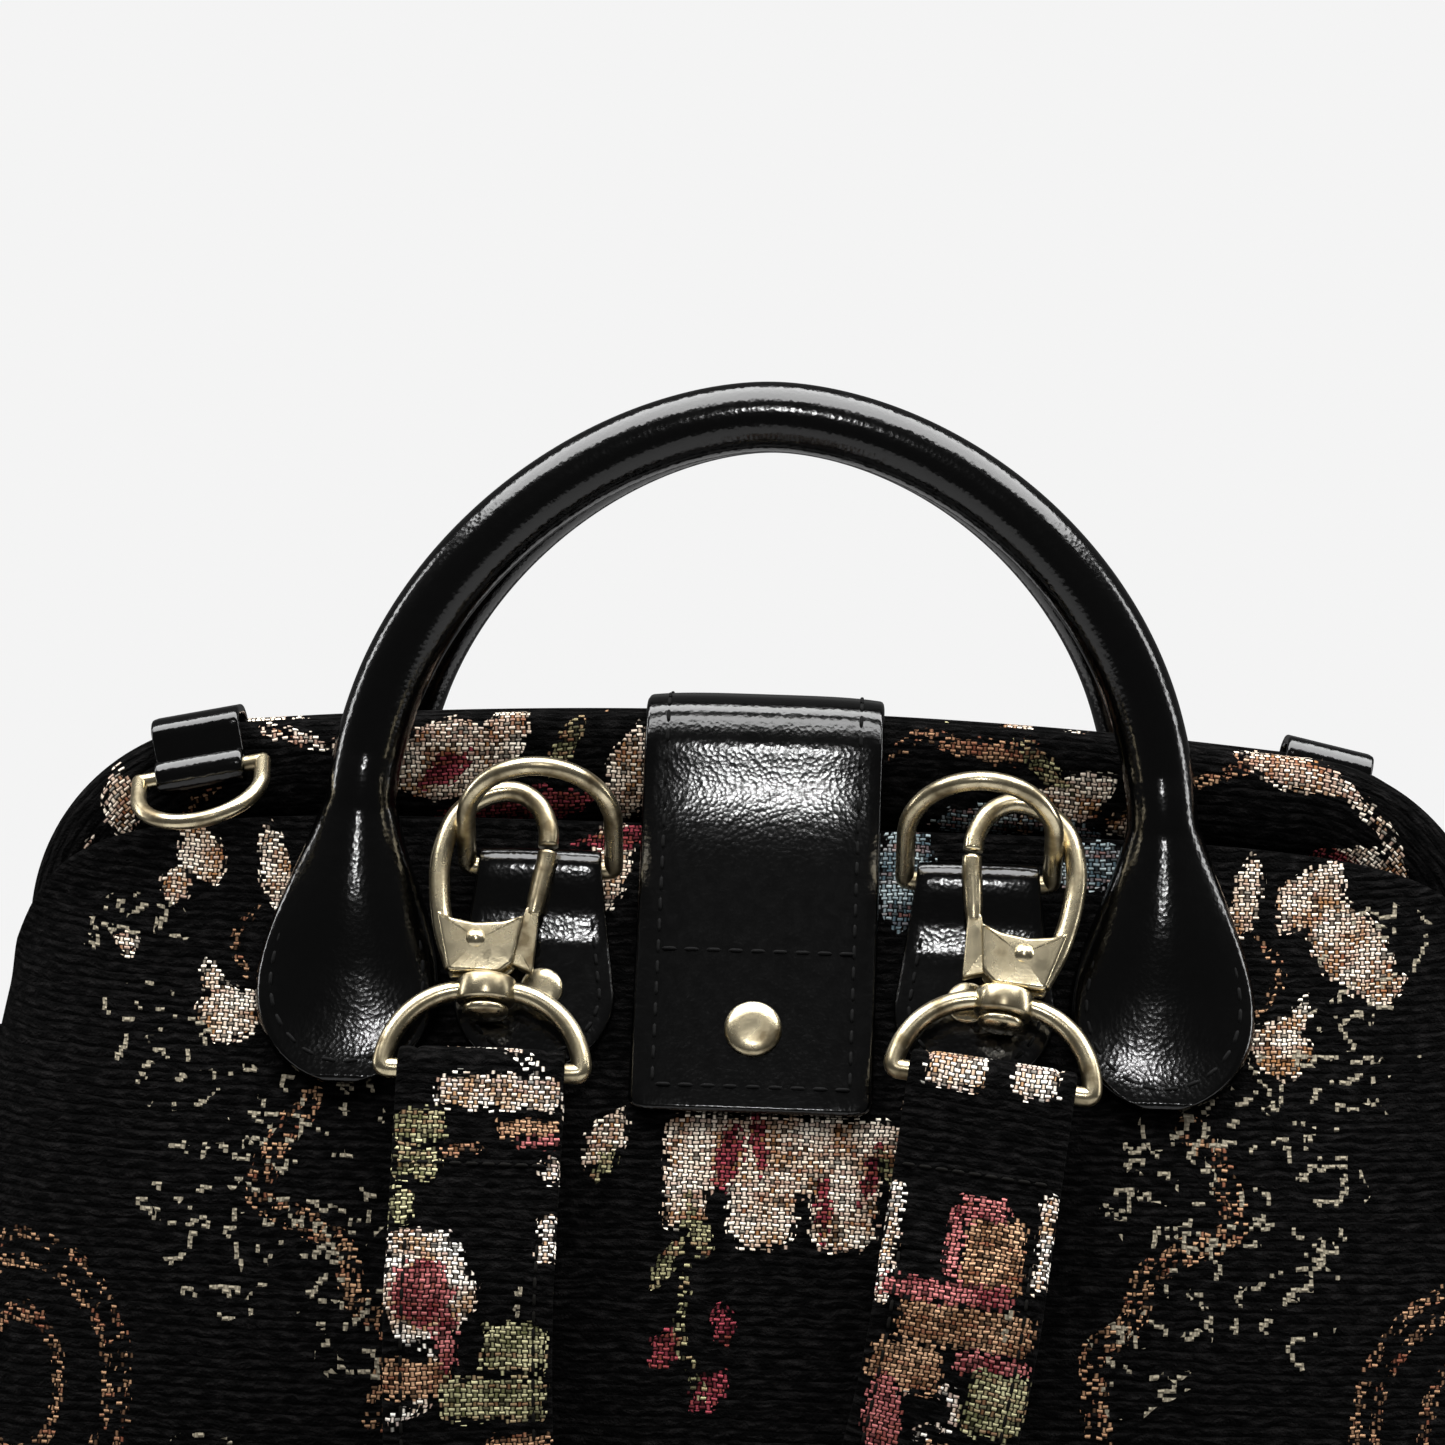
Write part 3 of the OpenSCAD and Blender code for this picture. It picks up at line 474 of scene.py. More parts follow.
# Waxed black polyester on the leather and dry cotton on the straps: both nearly black
THREAD = plain("waxed_thread", "#050505", 0.8, specular=0.12)
STRAP_THREAD = plain("cotton_thread", "#0B0A08", 0.9, specular=0.1)

SLOT_LOOKS = {"tapestry": PLAIN_CLOTH, "strap_tapestry": PLAIN_CLOTH, "leather": LEATHER,
              "brass": BRASS, "steel": STEEL, "board": BOARD}
for part in frame["record"]["subparts"]:
    mesh = frame["nodes"][part["node"]].data
    mesh.materials.clear()
    mesh.materials.append(SLOT_LOOKS[part["material_slot"]])


# Motifs of the tapestry: fields in millimetres, positive inside

OUTSIDE = -50.0


def leaf(x, z, cx, cz, length, width, turn):
    """An almond with pointed ends, turned by degrees."""
    a = math.radians(turn)
    dx, dz = x - cx, z - cz
    p, q = dx * math.cos(a) + dz * math.sin(a), dz * math.cos(a) - dx * math.sin(a)
    return width / 2 * (1 - (2 * p / length) ** 2) - np.abs(q)


def flower(x, z, cx, cz, r, petals, depth=0.18):
    """A round flower whose edge is scalloped into petals."""
    a, d = np.arctan2(z - cz, x - cx), np.hypot(x - cx, z - cz)
    return r * (1 - depth + depth * np.abs(np.cos(petals / 2 * a))) - d


def oval_ring(x, z, cx, cz, rx, rz, line):
    """A line along an ellipse: half its width less the distance from the ellipse."""
    d = np.hypot((x - cx) / rx, (z - cz) / rz)
    return line / 2 - np.abs(d - 1) * min(rx, rz)


def block(x, z, cx, cz, width, height, ease=1.6):
    """A rectangle with eased corners."""
    dx, dz = np.abs(x - cx) - width / 2 + ease, np.abs(z - cz) - height / 2 + ease
    return ease - np.hypot(np.maximum(dx, 0), np.maximum(dz, 0)) - np.minimum(np.maximum(dx, dz), 0)


def stroke(x, z, points, line, apart=0.0):
    """A line along a smooth curve, or two lines that far apart."""
    d = np.full(x.shape, np.inf)
    for px, pz in curve(points, step=2.0):
        d = np.minimum(d, np.hypot(x - px, z - pz))
    return line / 2 - np.abs(d - apart / 2)


def disc(x, z, cx, cz, r, squash=1.0):
    """A round patch, squashed along z."""
    return r - np.hypot(x - cx, (z - cz) * squash)


# Designs: by colour, each shape with its numbers; a pair is mirrored across the middle. z runs up, from
# the mouth's seam on a panel, from the middle of the band on a sleeve and from the fold on a strap
PANEL_DESIGN = {
    "cream": [
        (leaf, "pair", [(112, -10, 15, 9, 60), (117, -17, 9, 6, 100), (97, -12, 21, 6, 78),
                        (108, -36, 10, 4, 70), (28, -66, 15, 7, 120), (126, -30, 8, 4, 30),
                        (92, -160, 26, 9, 30), (30, -190, 28, 9, 140), (128, -196, 24, 9, 110)]),
        (leaf, "one", [(-30, -8, 24, 9, 85), (34, -60, 26, 9, 80), (118, -22, 30, 14, 125),
                       (108, -12, 16, 9, 60)]),
        (flower, "pair", [(104, -43, 6.5, 5), (60, -168, 17, 7)]),
        (block, "one", [(5, -68, 42, 15), (-12, -73, 8, 20), (3, -75, 13, 23, 4), (19, -74, 13, 25, 4)])],
    "red": [
        (leaf, "one", [(-4, -69, 16, 5, 80), (2, -66, 14, 2.6, 95), (15, -78, 14, 3, 90),
                       (24, -72, 14, 2.6, 75), (-3.6, -102, 9, 4.4, 100), (-15, -107, 10, 5.4, 60),
                       (-6, -115, 11, 6.4, 50), (-27, -3, 22, 4, 10)]),
        (flower, "pair", [(60, -168, 8, 5)]), (leaf, "pair", [(128, -196, 18, 3, 110)])],
    "green": [
        (stroke, "one", [([(-12, -77), (-11, -92), (-12, -104), (-7, -116)], 1.5)]),
        (leaf, "one", [(-9, -84, 12, 3.4, 110), (-15, -90, 12, 3.4, 60)]),
        (leaf, "pair", [(28, -71, 10, 3, 120), (42, -150, 20, 7, 150), (78, -182, 22, 7, 40)])],
    "rust": [
        (stroke, "pair", [([(86, -60), (92, -68), (95, -80), (85, -85), (78, -90), (75, -99), (68, -106),
                            (70, -122)], 0.9, 3.4), ([(100, -20), (104, -28), (100, -36)], 1.1)]),
        (oval_ring, "pair", [(142, -120, 23, 29, 1.0), (142, -120, 19, 24, 1.0), (142, -120, 9, 14, 1.6),
                             (60, -168, 26, 32, 1.4), (60, -168, 23, 28, 1.2)])],
    "blue": [(leaf, "one", [(29, -8, 28, 11, 84), (66, -6, 18, 10, 20)])],
    "ticks": [(disc, "pair", [(94, -74, 24, 0.8), (80, -104, 12), (118, -48, 13), (126, -26, 8),
                              (100, -150, 18)])]}
SLEEVE_DESIGN = {
    "cream": [
        (leaf, "one", [(-64, 2, 26, 16, 20), (-52, 6, 18, 8, 70), (-27, -2, 22, 9, 80), (61, -3, 24, 10, 30),
                       (76, -6, 14, 6, 10), (106, 8, 24, 7, 170), (-130, 3, 16, 6, 60), (128, -6, 26, 9, 10),
                       (-150, 0, 24, 6, 15), (150, 5, 20, 7, 160)]),
        (stroke, "one", [([(-100, 9), (-86, 6), (-74, 10)], 2.4),
                         ([(112, 8), (126, 2), (142, -4), (160, -2)], 2.6)])],
    "red": [(leaf, "one", [(-50, -8, 34, 8, 5), (-64, 0, 14, 5, 30), (118, -8, 16, 4, 10)])],
    "rust": [
        (stroke, "one", [([(26, 4), (32, 9), (44, 6), (54, 9)], 1.6), ([(84, 2), (96, 8)], 1.6),
                         ([(-120, -6), (-108, 0)], 1.4)]), (leaf, "one", [(46, 6, 26, 4, 175)])],
    "green": [(leaf, "one", [(56, 4, 16, 4, 140), (-40, 4, 14, 4, 60)])],
    "blue": [(leaf, "one", [(44, -8, 20, 7, 5), (62, -9, 20, 5, 170)])]}
STRAP_TICKS = [(disc, "one", [(-12, -100, 7), (11, -54, 6)])]
STRAP_DESIGNS = {
    "left": {
        "cream": [
            (block, "one", [(4, -11, 24, 6.6), (14.6, -26, 3.6, 4.5), (14.6, -39.5, 3.4, 9),
                            (-10, -43, 12, 9), (-13, -96, 6, 16)]), (flower, "one", [(-8, -50, 10, 6)]),
            (stroke, "one", [([(-5, -1), (4, -1.6), (11, -6)], 1.8),
                             ([(-13, -58), (-6, -62), (-8, -70), (-14, -74)], 2.0)])],
        "red": [(flower, "one", [(-9, -50, 6.5, 5)]), (leaf, "one", [(-4, -58, 18, 4, 95)]),
                (block, "one", [(12, -20.6, 8, 2)])],
        "green": [(block, "one", [(-11, -18, 10, 6.4), (-11.4, -25.4, 9, 6), (-13.8, -34, 4.8, 7),
                                  (9, -60, 12, 9), (5, -70, 20, 8)])],
        "rust": [(block, "one", [(10, -18, 12, 3.6), (-3, -22.5, 9, 2), (-9, -66, 14, 7), (10, -84, 12, 14),
                                 (-4, -118, 20, 9)])],
        "ticks": STRAP_TICKS},
    "right": {
        "cream": [
            (block, "one", [(-7, -4.5, 12, 9), (8.5, -4, 9, 10), (14.8, -36, 3, 18), (-15, -40, 3, 22),
                            (-6, -88, 14, 12)]),
            (stroke, "one", [([(-12, -76), (-8, -67), (0, -65), (3, -71), (-3, -74)], 2.2)])],
        "red": [(block, "one", [(2, -32, 10, 4), (-2.5, -38, 3, 13), (-3, -47, 26, 4), (8, -59, 14, 4)]),
                (leaf, "one", [(-10, -74, 22, 7, 100)])],
        "green": [(block, "one", [(10, -66, 11, 12), (-12, -100, 9, 16), (12, -110, 8, 10)])],
        "rust": [(block, "one", [(5, -40, 12, 14), (2, -53, 26, 8), (-8, -62, 14, 9), (6, -80, 14, 9),
                                 (2, -118, 22, 8)])],
        "ticks": STRAP_TICKS}}
STRAP_REPEAT = 128.0


def motifs(design, x, z):
    """Fields of a design, by colour: at each point the largest of the colour's shapes."""
    across = {"one": x, "pair": np.abs(x)}
    fields = {key: 0 * x + OUTSIDE for key in [*MOTIF_COLOURS, "ticks"]}
    for key, groups in design.items():
        fields[key] = np.maximum.reduce([shape(across[kind], z, *row) for shape, kind, rows in groups
                                         for row in rows])
    return fields


def panel_motifs(x, z):
    """The panel's design; the edge of its filigree is wavy."""
    fields = motifs(PANEL_DESIGN, x, z)
    fields["ticks"] += 2.5 * np.sin(x / 4.1) * np.cos(z / 3.3)
    return fields


# Sewn body

WIDEST_Z, MOUTH_TUCK, SECTION_POWER = 80, 2, 5
MID_Z, GUSSET_DIP = 150, 14
TABS_HALF, TABS_FOOT = 104, 178


def half_w(z):
    """Half width of the body: it draws in with the square of the height, towards the mouth."""
    draw_in = BODY_W / 2 - MOUTH_W / 2 + MOUTH_TUCK
    return BODY_W / 2 - draw_in * ((z - WIDEST_Z) / (SEAM_Z - WIDEST_Z)) ** 2


def half_d(z):
    """Half depth of the body: leaning flat panels at the top, a bellied curve below."""
    z = np.asarray(z, float)
    lean = LEAN_D - (z - LEAN_Z) * math.tan(LEAN)
    belly = BODY_D / 2 - (BODY_D / 2 - LEAN_D) * ((z - BELLY_Z) / (LEAN_Z - BELLY_Z)) ** 2
    foot = BODY_D / 2 - (BODY_D - BASE_D) / 2 * ((BELLY_Z - z) / BELLY_Z) ** 2
    return np.where(z > LEAN_Z, lean, np.where(z > BELLY_Z, belly, foot))


def section(a):
    """Unit rounded rectangle by direction: |x| and |y|, each to the section's power, add up to 1."""
    c, s = np.cos(a), np.sin(a)
    total = np.abs(c) ** SECTION_POWER + np.abs(s) ** SECTION_POWER
    return np.stack([c, s], -1) * total[..., None] ** (-1 / SECTION_POWER)


def body_patch(first, last, limit, step, soft):
    """A panel of the body between two directions in degrees, as a shell of outer and inner points.

    The columns are spaced evenly by length and the rows by height; soft pushes the outer face in
    by a broad ripple where nothing is sewn on it.
    """
    fine = np.radians(np.linspace(first, last, 721))
    s = along(section(fine) * [half_w(MID_Z), half_d(MID_Z)])
    a = np.interp(np.linspace(0, s[-1], int(s[-1] / step) + 1), s, fine)
    share = np.maximum(np.abs(section(a)[:, 1]), 0.01)
    edge = np.maximum(HINGE_Z - GUSSET_DIP, SEAM_Z - 0.3 - SEAM_D * (1 / share - 1) / math.tan(LEAN))
    edge = np.minimum(edge, limit)
    rows = int(SEAM_Z / step) + 1
    z = edge[None] * np.linspace(0, 1, rows)[:, None]
    q = section(a)[None]

    def wall(inset):
        """The body's surface, moved in by a distance."""
        return np.stack([(half_w(z) - inset) * q[..., 0], (half_d(z) - inset) * q[..., 1], z], -1)
    outer, inner = wall(0.0), wall(float(PANEL_T))
    x = outer[..., 0]
    ripple = 0.5 + 0.5 * np.sin(x / 23 + 1.1 * np.sin(z / 31)) * np.cos(z / 27 + x / 61)
    free = smooth((np.abs(x) - TABS_HALF) / 14) + smooth((TABS_FOOT - z) / 20)
    depth = soft * ripple * np.clip(free, 0, 1) * smooth(z / 12) * smooth((edge[None] - z) / 10)
    outer = outer + depth[..., None] * unit(inner - outer)
    steps = np.linalg.norm(np.diff(outer, axis=1), axis=-1)
    u = np.concatenate([0 * z[:, :1], np.cumsum(steps, 1)], 1)
    u = u - u[:, len(a) // 2][:, None]
    climb = np.linalg.norm(np.diff(outer, axis=0), axis=-1)
    v = np.concatenate([0 * z[:1], np.cumsum(climb, 0)], 0)
    mid = v[-1, len(a) // 2]
    return outer, inner, np.stack([u, v - mid], -1)


def shell_piece(name, outer, inner, uv, fields):
    """Closed solid between two grids; its inner face shows the lining."""
    rows, cols = outer.shape[:2]
    far = rows * cols
    skin = grid_faces(rows, cols)
    j, i = np.arange(cols - 1), np.arange(rows - 1)
    rims = [np.stack([a, b, b + far, a + far], 1) for a, b in (
        (j + 1, j), ((rows - 1) * cols + j, (rows - 1) * cols + j + 1),
        (i * cols, (i + 1) * cols), ((i + 1) * cols + cols - 1, i * cols + cols - 1))]
    faces = np.vstack([skin, skin[:, ::-1] + far] + rims)
    second = np.concatenate([np.zeros(len(skin)), np.ones(len(skin)), np.zeros(sum(map(len, rims)))])
    both = {k: np.concatenate([f.ravel(), 0 * f.ravel() + OUTSIDE]) for k, f in fields.items()}
    return add_piece(name, np.concatenate([outer.reshape(-1, 3), inner.reshape(-1, 3)]), faces,
                     [CLOTH, LINING], np.concatenate([uv.reshape(-1, 2)] * 2), both, second)


def with_caps(field):
    """A field with two more values, outside each motif, for the middles of the end caps."""
    return np.concatenate([field, [OUTSIDE, OUTSIDE]])


def bend_with_mouth(piece):
    """Bakes the placement of cloth between the fixed bag and the opening front half of the mouth into its
    points.
    """
    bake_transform(piece)


def sewn_panel(name, first, last, limit, step, soft):
    """One panel of the body in tapestry, its pattern turned to read from outside."""
    outer, inner, uv = body_patch(first, last, limit, step, soft)
    if first < 180:
        uv = uv * [-1, 1]
    piece = shell_piece(name + "_cloth", outer, inner, uv, panel_motifs(uv[..., 0], uv[..., 1]))
    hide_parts(name)
    return piece


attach(sewn_panel("rear_panel", 210, 330, SEAM_Z, step=1.3, soft=1.4), "bag")
bend_with_mouth(sewn_panel("front_panel", 30, 150, SEAM_Z, step=1.6, soft=1.4))
bend_with_mouth(sewn_panel("gusset_right", -29.9, 29.9, HINGE_Z + 5, step=2.0, soft=0.8))
bend_with_mouth(sewn_panel("gusset_left", 150.1, 209.9, HINGE_Z + 5, step=2.0, soft=0.8))


# Mouth sleeves

def arch_line(inset):
    """The mouth's outline inset by a distance: leg, corner, crown, corner, leg."""
    r, foot, top = CORNER_R - inset, HINGE_Z + 9, BAG_H - MOUTH_SAG - CORNER_R
    a = np.linspace(math.pi, math.pi / 2, 25)
    corner = np.stack([-TOP_HALF + r * np.cos(a), top + r * np.sin(a)], 1)
    x = np.linspace(-TOP_HALF, TOP_HALF, 60)[1:-1]
    crown = np.stack([x, BAG_H - CROWN_R + np.sqrt((CROWN_R - inset) ** 2 - x ** 2)], 1)
    left = np.vstack([[[-TOP_HALF - r, foot]], corner])
    return np.vstack([left, crown, left[::-1] * [-1, 1]])


def sleeve(name, side, body):
    """A padded band carried round the mouth's outline, with a rounded section."""
    flat = resample(arch_line(SLEEVE_BAND / 2), step=1.4)
    path = np.stack([flat[:, 0], 0 * flat[:, 0] + side * (MOUTH_GAP + SLEEVE_T) / 2, flat[:, 1]], 1)
    a = np.linspace(0, 2 * math.pi, 44, endpoint=False)
    c, s = np.cos(a), np.sin(a)
    round_off = (np.abs(c) ** 2.5 + np.abs(s) ** 2.5) ** -0.4
    profile = np.stack([SLEEVE_BAND / 2 * c * round_off, SLEEVE_T / 2 * s * round_off], 1)
    t = unit(np.gradient(path, axis=0))
    out = np.stack([-t[:, 2], 0 * t[:, 0], t[:, 0]], 1)
    rings = sweep(path, out, profile)
    verts, faces = capped(rings)
    u = along(path)
    u = u - u[-1] / 2
    rim = along(np.vstack([profile, profile[:1]]))[:-1]
    place = np.stack(np.broadcast_arrays(u[:, None], rim[None]), -1).reshape(-1, 2)
    face = np.broadcast_to(profile[None, :, 0], (len(u), len(a))).ravel()
    fields = motifs(SLEEVE_DESIGN, -side * place[:, 0], face)
    piece = add_piece(name + "_cloth", verts, faces, [CLOTH], np.vstack([place, [[0, 0], [0, 0]]]),
                      {k: with_caps(f) for k, f in fields.items()})
    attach(piece, body)
    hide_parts(name)


sleeve("rear_sleeve", -1, "bag")
sleeve("front_sleeve", 1, "front_mouth")


# Rolled handles

HANDLE_FOOT = SEAM_Z - TAB_LEN * math.cos(LEAN)
ARCH_FOOT = SEAM_Z + 7
HANDLE_BASE = MOUTH_GAP / 2 + SLEEVE_T + 2
TAB_EDGE, TAB_DOME = 3.0, 6.0
ARCH_POWER_LEFT, ARCH_POWER_RIGHT = 1.125, 1.08
SQUEEZE_UP, SQUEEZE_OVER = 36, 40


def tab_height(up, across):
    """Height of the tab's face over the panel: a thin edge that rises to a ridge."""
    dome = TAB_DOME * smooth(up / TAB_LEN * 1.6)
    top = np.sqrt(np.clip(1 - across ** 2, 0, 1))
    return TAB_EDGE * np.minimum(1, 3 * top) + dome * top ** 2.6


def tab_half(up):
    """Half width of the tab, round at its foot."""
    return TAB_W / 2 * np.sqrt(1 - np.maximum(0, 1 - (up + 0.4) / (TAB_W / 2)) ** 2)


def tab_share(up):
    """1 on the flat tab, 0 on the rolled tube."""
    return 1 - smooth((up - TAB_LEN * 0.32) / (TAB_LEN * 0.68))


def handle_half(up):
    """Half width along a handle: the tab's, turning into the tube's."""
    return tab_share(up) * tab_half(up) + (1 - tab_share(up)) * HANDLE_D / 2


def panel_y(z):
    """Where a handle lies on the strap side at each height: on the panel, or clear of the sleeve."""
    return -np.maximum(half_d(np.minimum(z, SEAM_Z)) + LAY_GAP, HANDLE_BASE)


def handle(name, side, body, squeeze):
    """Tab, tube and tab in one: a round section that flattens into the tabs along its path.

    The arch is an ellipse whose sine and cosine are raised to a power, which makes its flanks lean,
    the left one more; squeeze draws the legs together above the tabs.
    """
    z = np.linspace(HANDLE_FOOT, ARCH_FOOT, 60)
    leg = np.stack([0 * z - HANDLE_SPAN / 2, panel_y(z), z], 1)
    a = np.linspace(math.pi, 0, 110)[1:-1]
    power = np.where(a > math.pi / 2, ARCH_POWER_LEFT, ARCH_POWER_RIGHT)
    arch = np.stack([HANDLE_SPAN / 2 * np.sign(np.cos(a)) * np.abs(np.cos(a)) ** power,
                     0 * a - HANDLE_BASE,
                     ARCH_FOOT + (BAG_H + HANDLE_RISE - ARCH_FOOT) * np.sin(a) ** power], 1)
    path = rounded(np.vstack([leg, arch, leg[::-1] * [-1, 1, 1]]), step=1.1, reach=7.0)
    path[:, 0] *= 1 - squeeze * smooth((path[:, 2] - HANDLE_FOOT - SQUEEZE_UP) / SQUEEZE_OVER)
    t = unit(np.gradient(path, axis=0))
    lean = LEAN * (1 - smooth((path[:, 2] - SEAM_Z + 8) / 16))
    face = np.stack([0 * lean, -np.cos(lean), np.sin(lean)], 1)
    v = unit(np.cross(t, np.cross(face, t)))
    u = np.cross(v, t)
    up = path[:, 2:] - HANDLE_FOOT
    k = np.linspace(0, 2 * math.pi, 48, endpoint=False)[None]
    c, s = np.cos(k), np.sin(k)
    flat, r = tab_share(up), HANDLE_D / 2
    across = handle_half(up) * c
    out = flat * np.where(s > 0, tab_height(up, c), 0.1 * s) + (1 - flat) * r * (1 + s)
    rings = path[:, None] + across[..., None] * u[:, None] + out[..., None] * v[:, None]
    verts, faces = capped(rings)
    flip = np.array([1, -side, 1])
    dressed(name + "_leather", (verts * flip, faces), "leather", body, name)
    for end, word in SIDES.items():
        line, normal = tab_stitch_line(end)
        stitches(f"{name}_stitches_{word}", line * flip, normal * flip, body)


def tab_stitch_line(end, inset=3.4):
    """Stitch line round a tab, a little inside its edge."""
    up = np.linspace(TAB_LEN * 0.74, TAB_W / 2, 20)
    side = np.stack([handle_half(up) - inset, up], 1)
    a = np.linspace(0, math.pi, 30)[1:-1]
    r = TAB_W / 2 - inset
    foot = np.stack([r * np.cos(a), TAB_W / 2 - r * np.sin(a)], 1)
    flat = resample(np.vstack([side, foot, side[::-1] * [-1, 1]]), step=1.0)
    x, up = flat[:, 0], flat[:, 1]
    share, half = tab_share(up), np.maximum(handle_half(up), 0.1)
    height = share * tab_height(up, x / half) + (1 - share) * HANDLE_D / 2
    z = HANDLE_FOOT + up
    out = np.array([0, -math.cos(LEAN), math.sin(LEAN)])
    line = np.stack([end * HANDLE_SPAN / 2 + x, panel_y(z), z], 1) + height[:, None] * out
    return line, np.broadcast_to(out, line.shape)


handle("rear_handle", -1, "bag", squeeze=0.02)
handle("front_handle", 1, "front_mouth", squeeze=0.045)


# Closing strap over the mouth

def strip(path, profile, across=(-1.0, 0, 0)):
    """A bent strip: a section carried along a path, its outer side away from the bag."""
    return capped(sweep(path, np.broadcast_to(across, path.shape), profile))


FLAP_FOOT = BAG_H - FLAP_DROP
FLAP_Y = MOUTH_GAP / 2 + SLEEVE_T + LAY_GAP + 0.2


def flap_line():
    """Side view of the closing strap, (y, z), from its rear foot over the mouth to its front foot.

    It lies on the leaning panel, grows steeper past the seam and bends over the sleeves.
    """
    z = np.linspace(SEAM_Z - 12, BAG_H - 6, 15)
    slope = np.tan(LEAN * (1 - 0.5 * smooth((z - z[0]) / (z[-1] - z[0]))))
    y = -half_d(z[0]) - LAY_GAP + (np.cumsum(slope) - slope[0]) * (z[1] - z[0])
    rear = np.vstack([[[-half_d(FLAP_FOOT) - LAY_GAP, FLAP_FOOT]], np.stack([y, z], 1),
                      [[-FLAP_Y + 3.2, BAG_H - 1.2], [-FLAP_Y + 7, BAG_H + 0.3], [0, BAG_H + LAY_GAP]]])
    line = rounded(np.vstack([rear, rear[-2::-1] * [-1, 1]]), step=0.8, reach=3.0)
    return np.stack([0 * line[:, 0], line[:, 0], line[:, 1]], 1)


flap_path = flap_line()
from_foot = along(flap_path)
from_end = np.minimum(from_foot, from_foot[-1] - from_foot)
# The last 3 mm of each end draw in by 12 % on a quarter round
taper = 1 - 0.12 * (1 - np.sqrt(np.clip(1 - (1 - np.clip(from_end / 3.0, 0, 1)) ** 2, 0, 1)))
flap_profile = ribbon(FLAP_W, LEATHER_T, parts=24, puff=0.7) + [0, LEATHER_T / 2]
flap_profile = flap_profile[None] * np.stack([taper, 0 * taper + 1], 1)[:, None]


def bend_with_flap(piece):
    """Bakes the placement of the fold over the mouth, between the sewn rear and the lifting front of the
    closing strap, into its points.
    """
    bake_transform(piece)


dressed("closing_strap_leather", strip(flap_path, flap_profile), "leather", bend_with_flap,
        "closing_strap_rear", "closing_strap_front")


def flap_stitches():
    """Two lines along the edges, one across the foot and one across the middle, on both sides."""
    t = unit(np.gradient(flap_path, axis=0))
    out = np.stack([0 * t[:, 0], -t[:, 2], t[:, 1]], 1)
    top = flap_path + (LEATHER_T + 0.45) * out
    s = along(flap_path)
    inset, foot, middle = FLAP_W / 2 - 4.6, 4.5, 33.0
    for side, body, keep in (("rear", "bag", (s > foot) & (flap_path[:, 1] < -3)),
                             ("front", "flap_front", (s < s[-1] - foot) & (flap_path[:, 1] > 5))):
        for sign, word in SIDES.items():
            line = top[keep] + [sign * inset, 0, 0]
            stitches(f"flap_{side}_stitches_{word}", line, out[keep], body)
        for level, at in (("foot", foot), ("middle", middle)):
            k = np.argmin(np.abs((s if side == "rear" else s[-1] - s) - at))
            x = np.linspace(-inset, inset, 40)
            line = top[k] + np.stack([x, 0 * x, 0 * x], 1) + 0.25 * out[k]
            stitches(f"flap_{side}_stitches_{level}", line, np.broadcast_to(out[k], line.shape), body)


flap_stitches()


# Ring tabs: a tongue of two layers folded over the ring's bar

def on_back(x, out, up):
    """Point on the leaning back panel: out of it and up it from the height of the ring's bar."""
    x, out, up = np.broadcast_arrays(x, out, up)
    return np.stack([x, -half_d(BAR_Z) - out * math.cos(LEAN) + up * math.sin(LEAN),
                     BAR_Z + out * math.sin(LEAN) + up * math.cos(LEAN)], -1)


# The ring's bar lies this far out of the panel, and the tab's leather folds round it at this radius
BAR_OUT, FOLD_R = 4.26, 2.95
TAB_LEATHER_T = 1.9
TONGUE_END = RING_TAB_LEN - 3.86


def tongue_half(up):
    """Half width of the tongue: it widens to its round foot."""
    r = RING_TAB_FOOT / 2
    side = RING_TAB_W / 2 + (r - RING_TAB_W / 2) * np.clip(-up / (TONGUE_END - r), 0, 1)
    foot = np.sqrt(np.clip(r ** 2 - (up + TONGUE_END - r) ** 2, 0.2, None))
    return np.where(up < r - TONGUE_END, foot, side)


def ring_tab(side):
    """A tongue sewn to the back: down its outer layer, round the bar and down its inner layer."""
    name = "ring_tab_" + SIDES[side]
    a = np.radians(np.linspace(-10, 180, 16))
    fold = np.stack([BAR_OUT + FOLD_R * np.cos(a), FOLD_R * np.sin(a)], 1)
    line = np.vstack([[[3.3, -TONGUE_END], [3.3, -15], [4.4, -9], [6.6, -3]], fold,
                      [[1.35, -5], [1.35, -TONGUE_END]]])
    line = rounded(line, step=0.7, reach=1.4)
    half = tongue_half(line[:, 1])
    profile = np.stack([ribbon(2 * h, TAB_LEATHER_T, parts=14, puff=0.25) for h in half])
    path = on_back(side * RING_SPAN / 2, line[:, 0], line[:, 1])
    dressed(name + "_leather", strip(path, profile), "leather", "bag", name)
    up = np.linspace(-10, 16 - TONGUE_END, 20)
    edge = np.stack([tongue_half(up) - 3, up], 1)
    a = np.linspace(0, math.pi, 24)[1:-1]
    foot = np.stack([13 * np.cos(a), 16 - TONGUE_END - 13 * np.sin(a)], 1)
    flat = resample(np.vstack([edge, foot, edge[::-1] * [-1, 1]]), step=1.0)
    rise = np.interp(flat[:, 1], [-15, -9], [4.5, 5.6])
    out = np.array([0, -math.cos(LEAN), math.sin(LEAN)])
    points = on_back(side * RING_SPAN / 2 + flat[:, 0], rise, flat[:, 1])
    stitches(name + "_stitches", points, np.broadcast_to(out, points.shape), "bag", pitch=3.6, length=2.5)


for side in SIDES:
    ring_tab(side)


# Side tabs: a strip from inside the mouth over the sleeve and round the side ring's bar

# How far round the mouth's corner the tab sits, and the side ring's bar as (y, z) there
SIDE_TURN = math.asin((HANDLE_SPAN / 2 + HANDLE_D / 2 + 27.2 - TOP_HALF) / CORNER_R)
SIDE_BAR, SIDE_FOLD_R = (-17.26, -9.0), 2.62


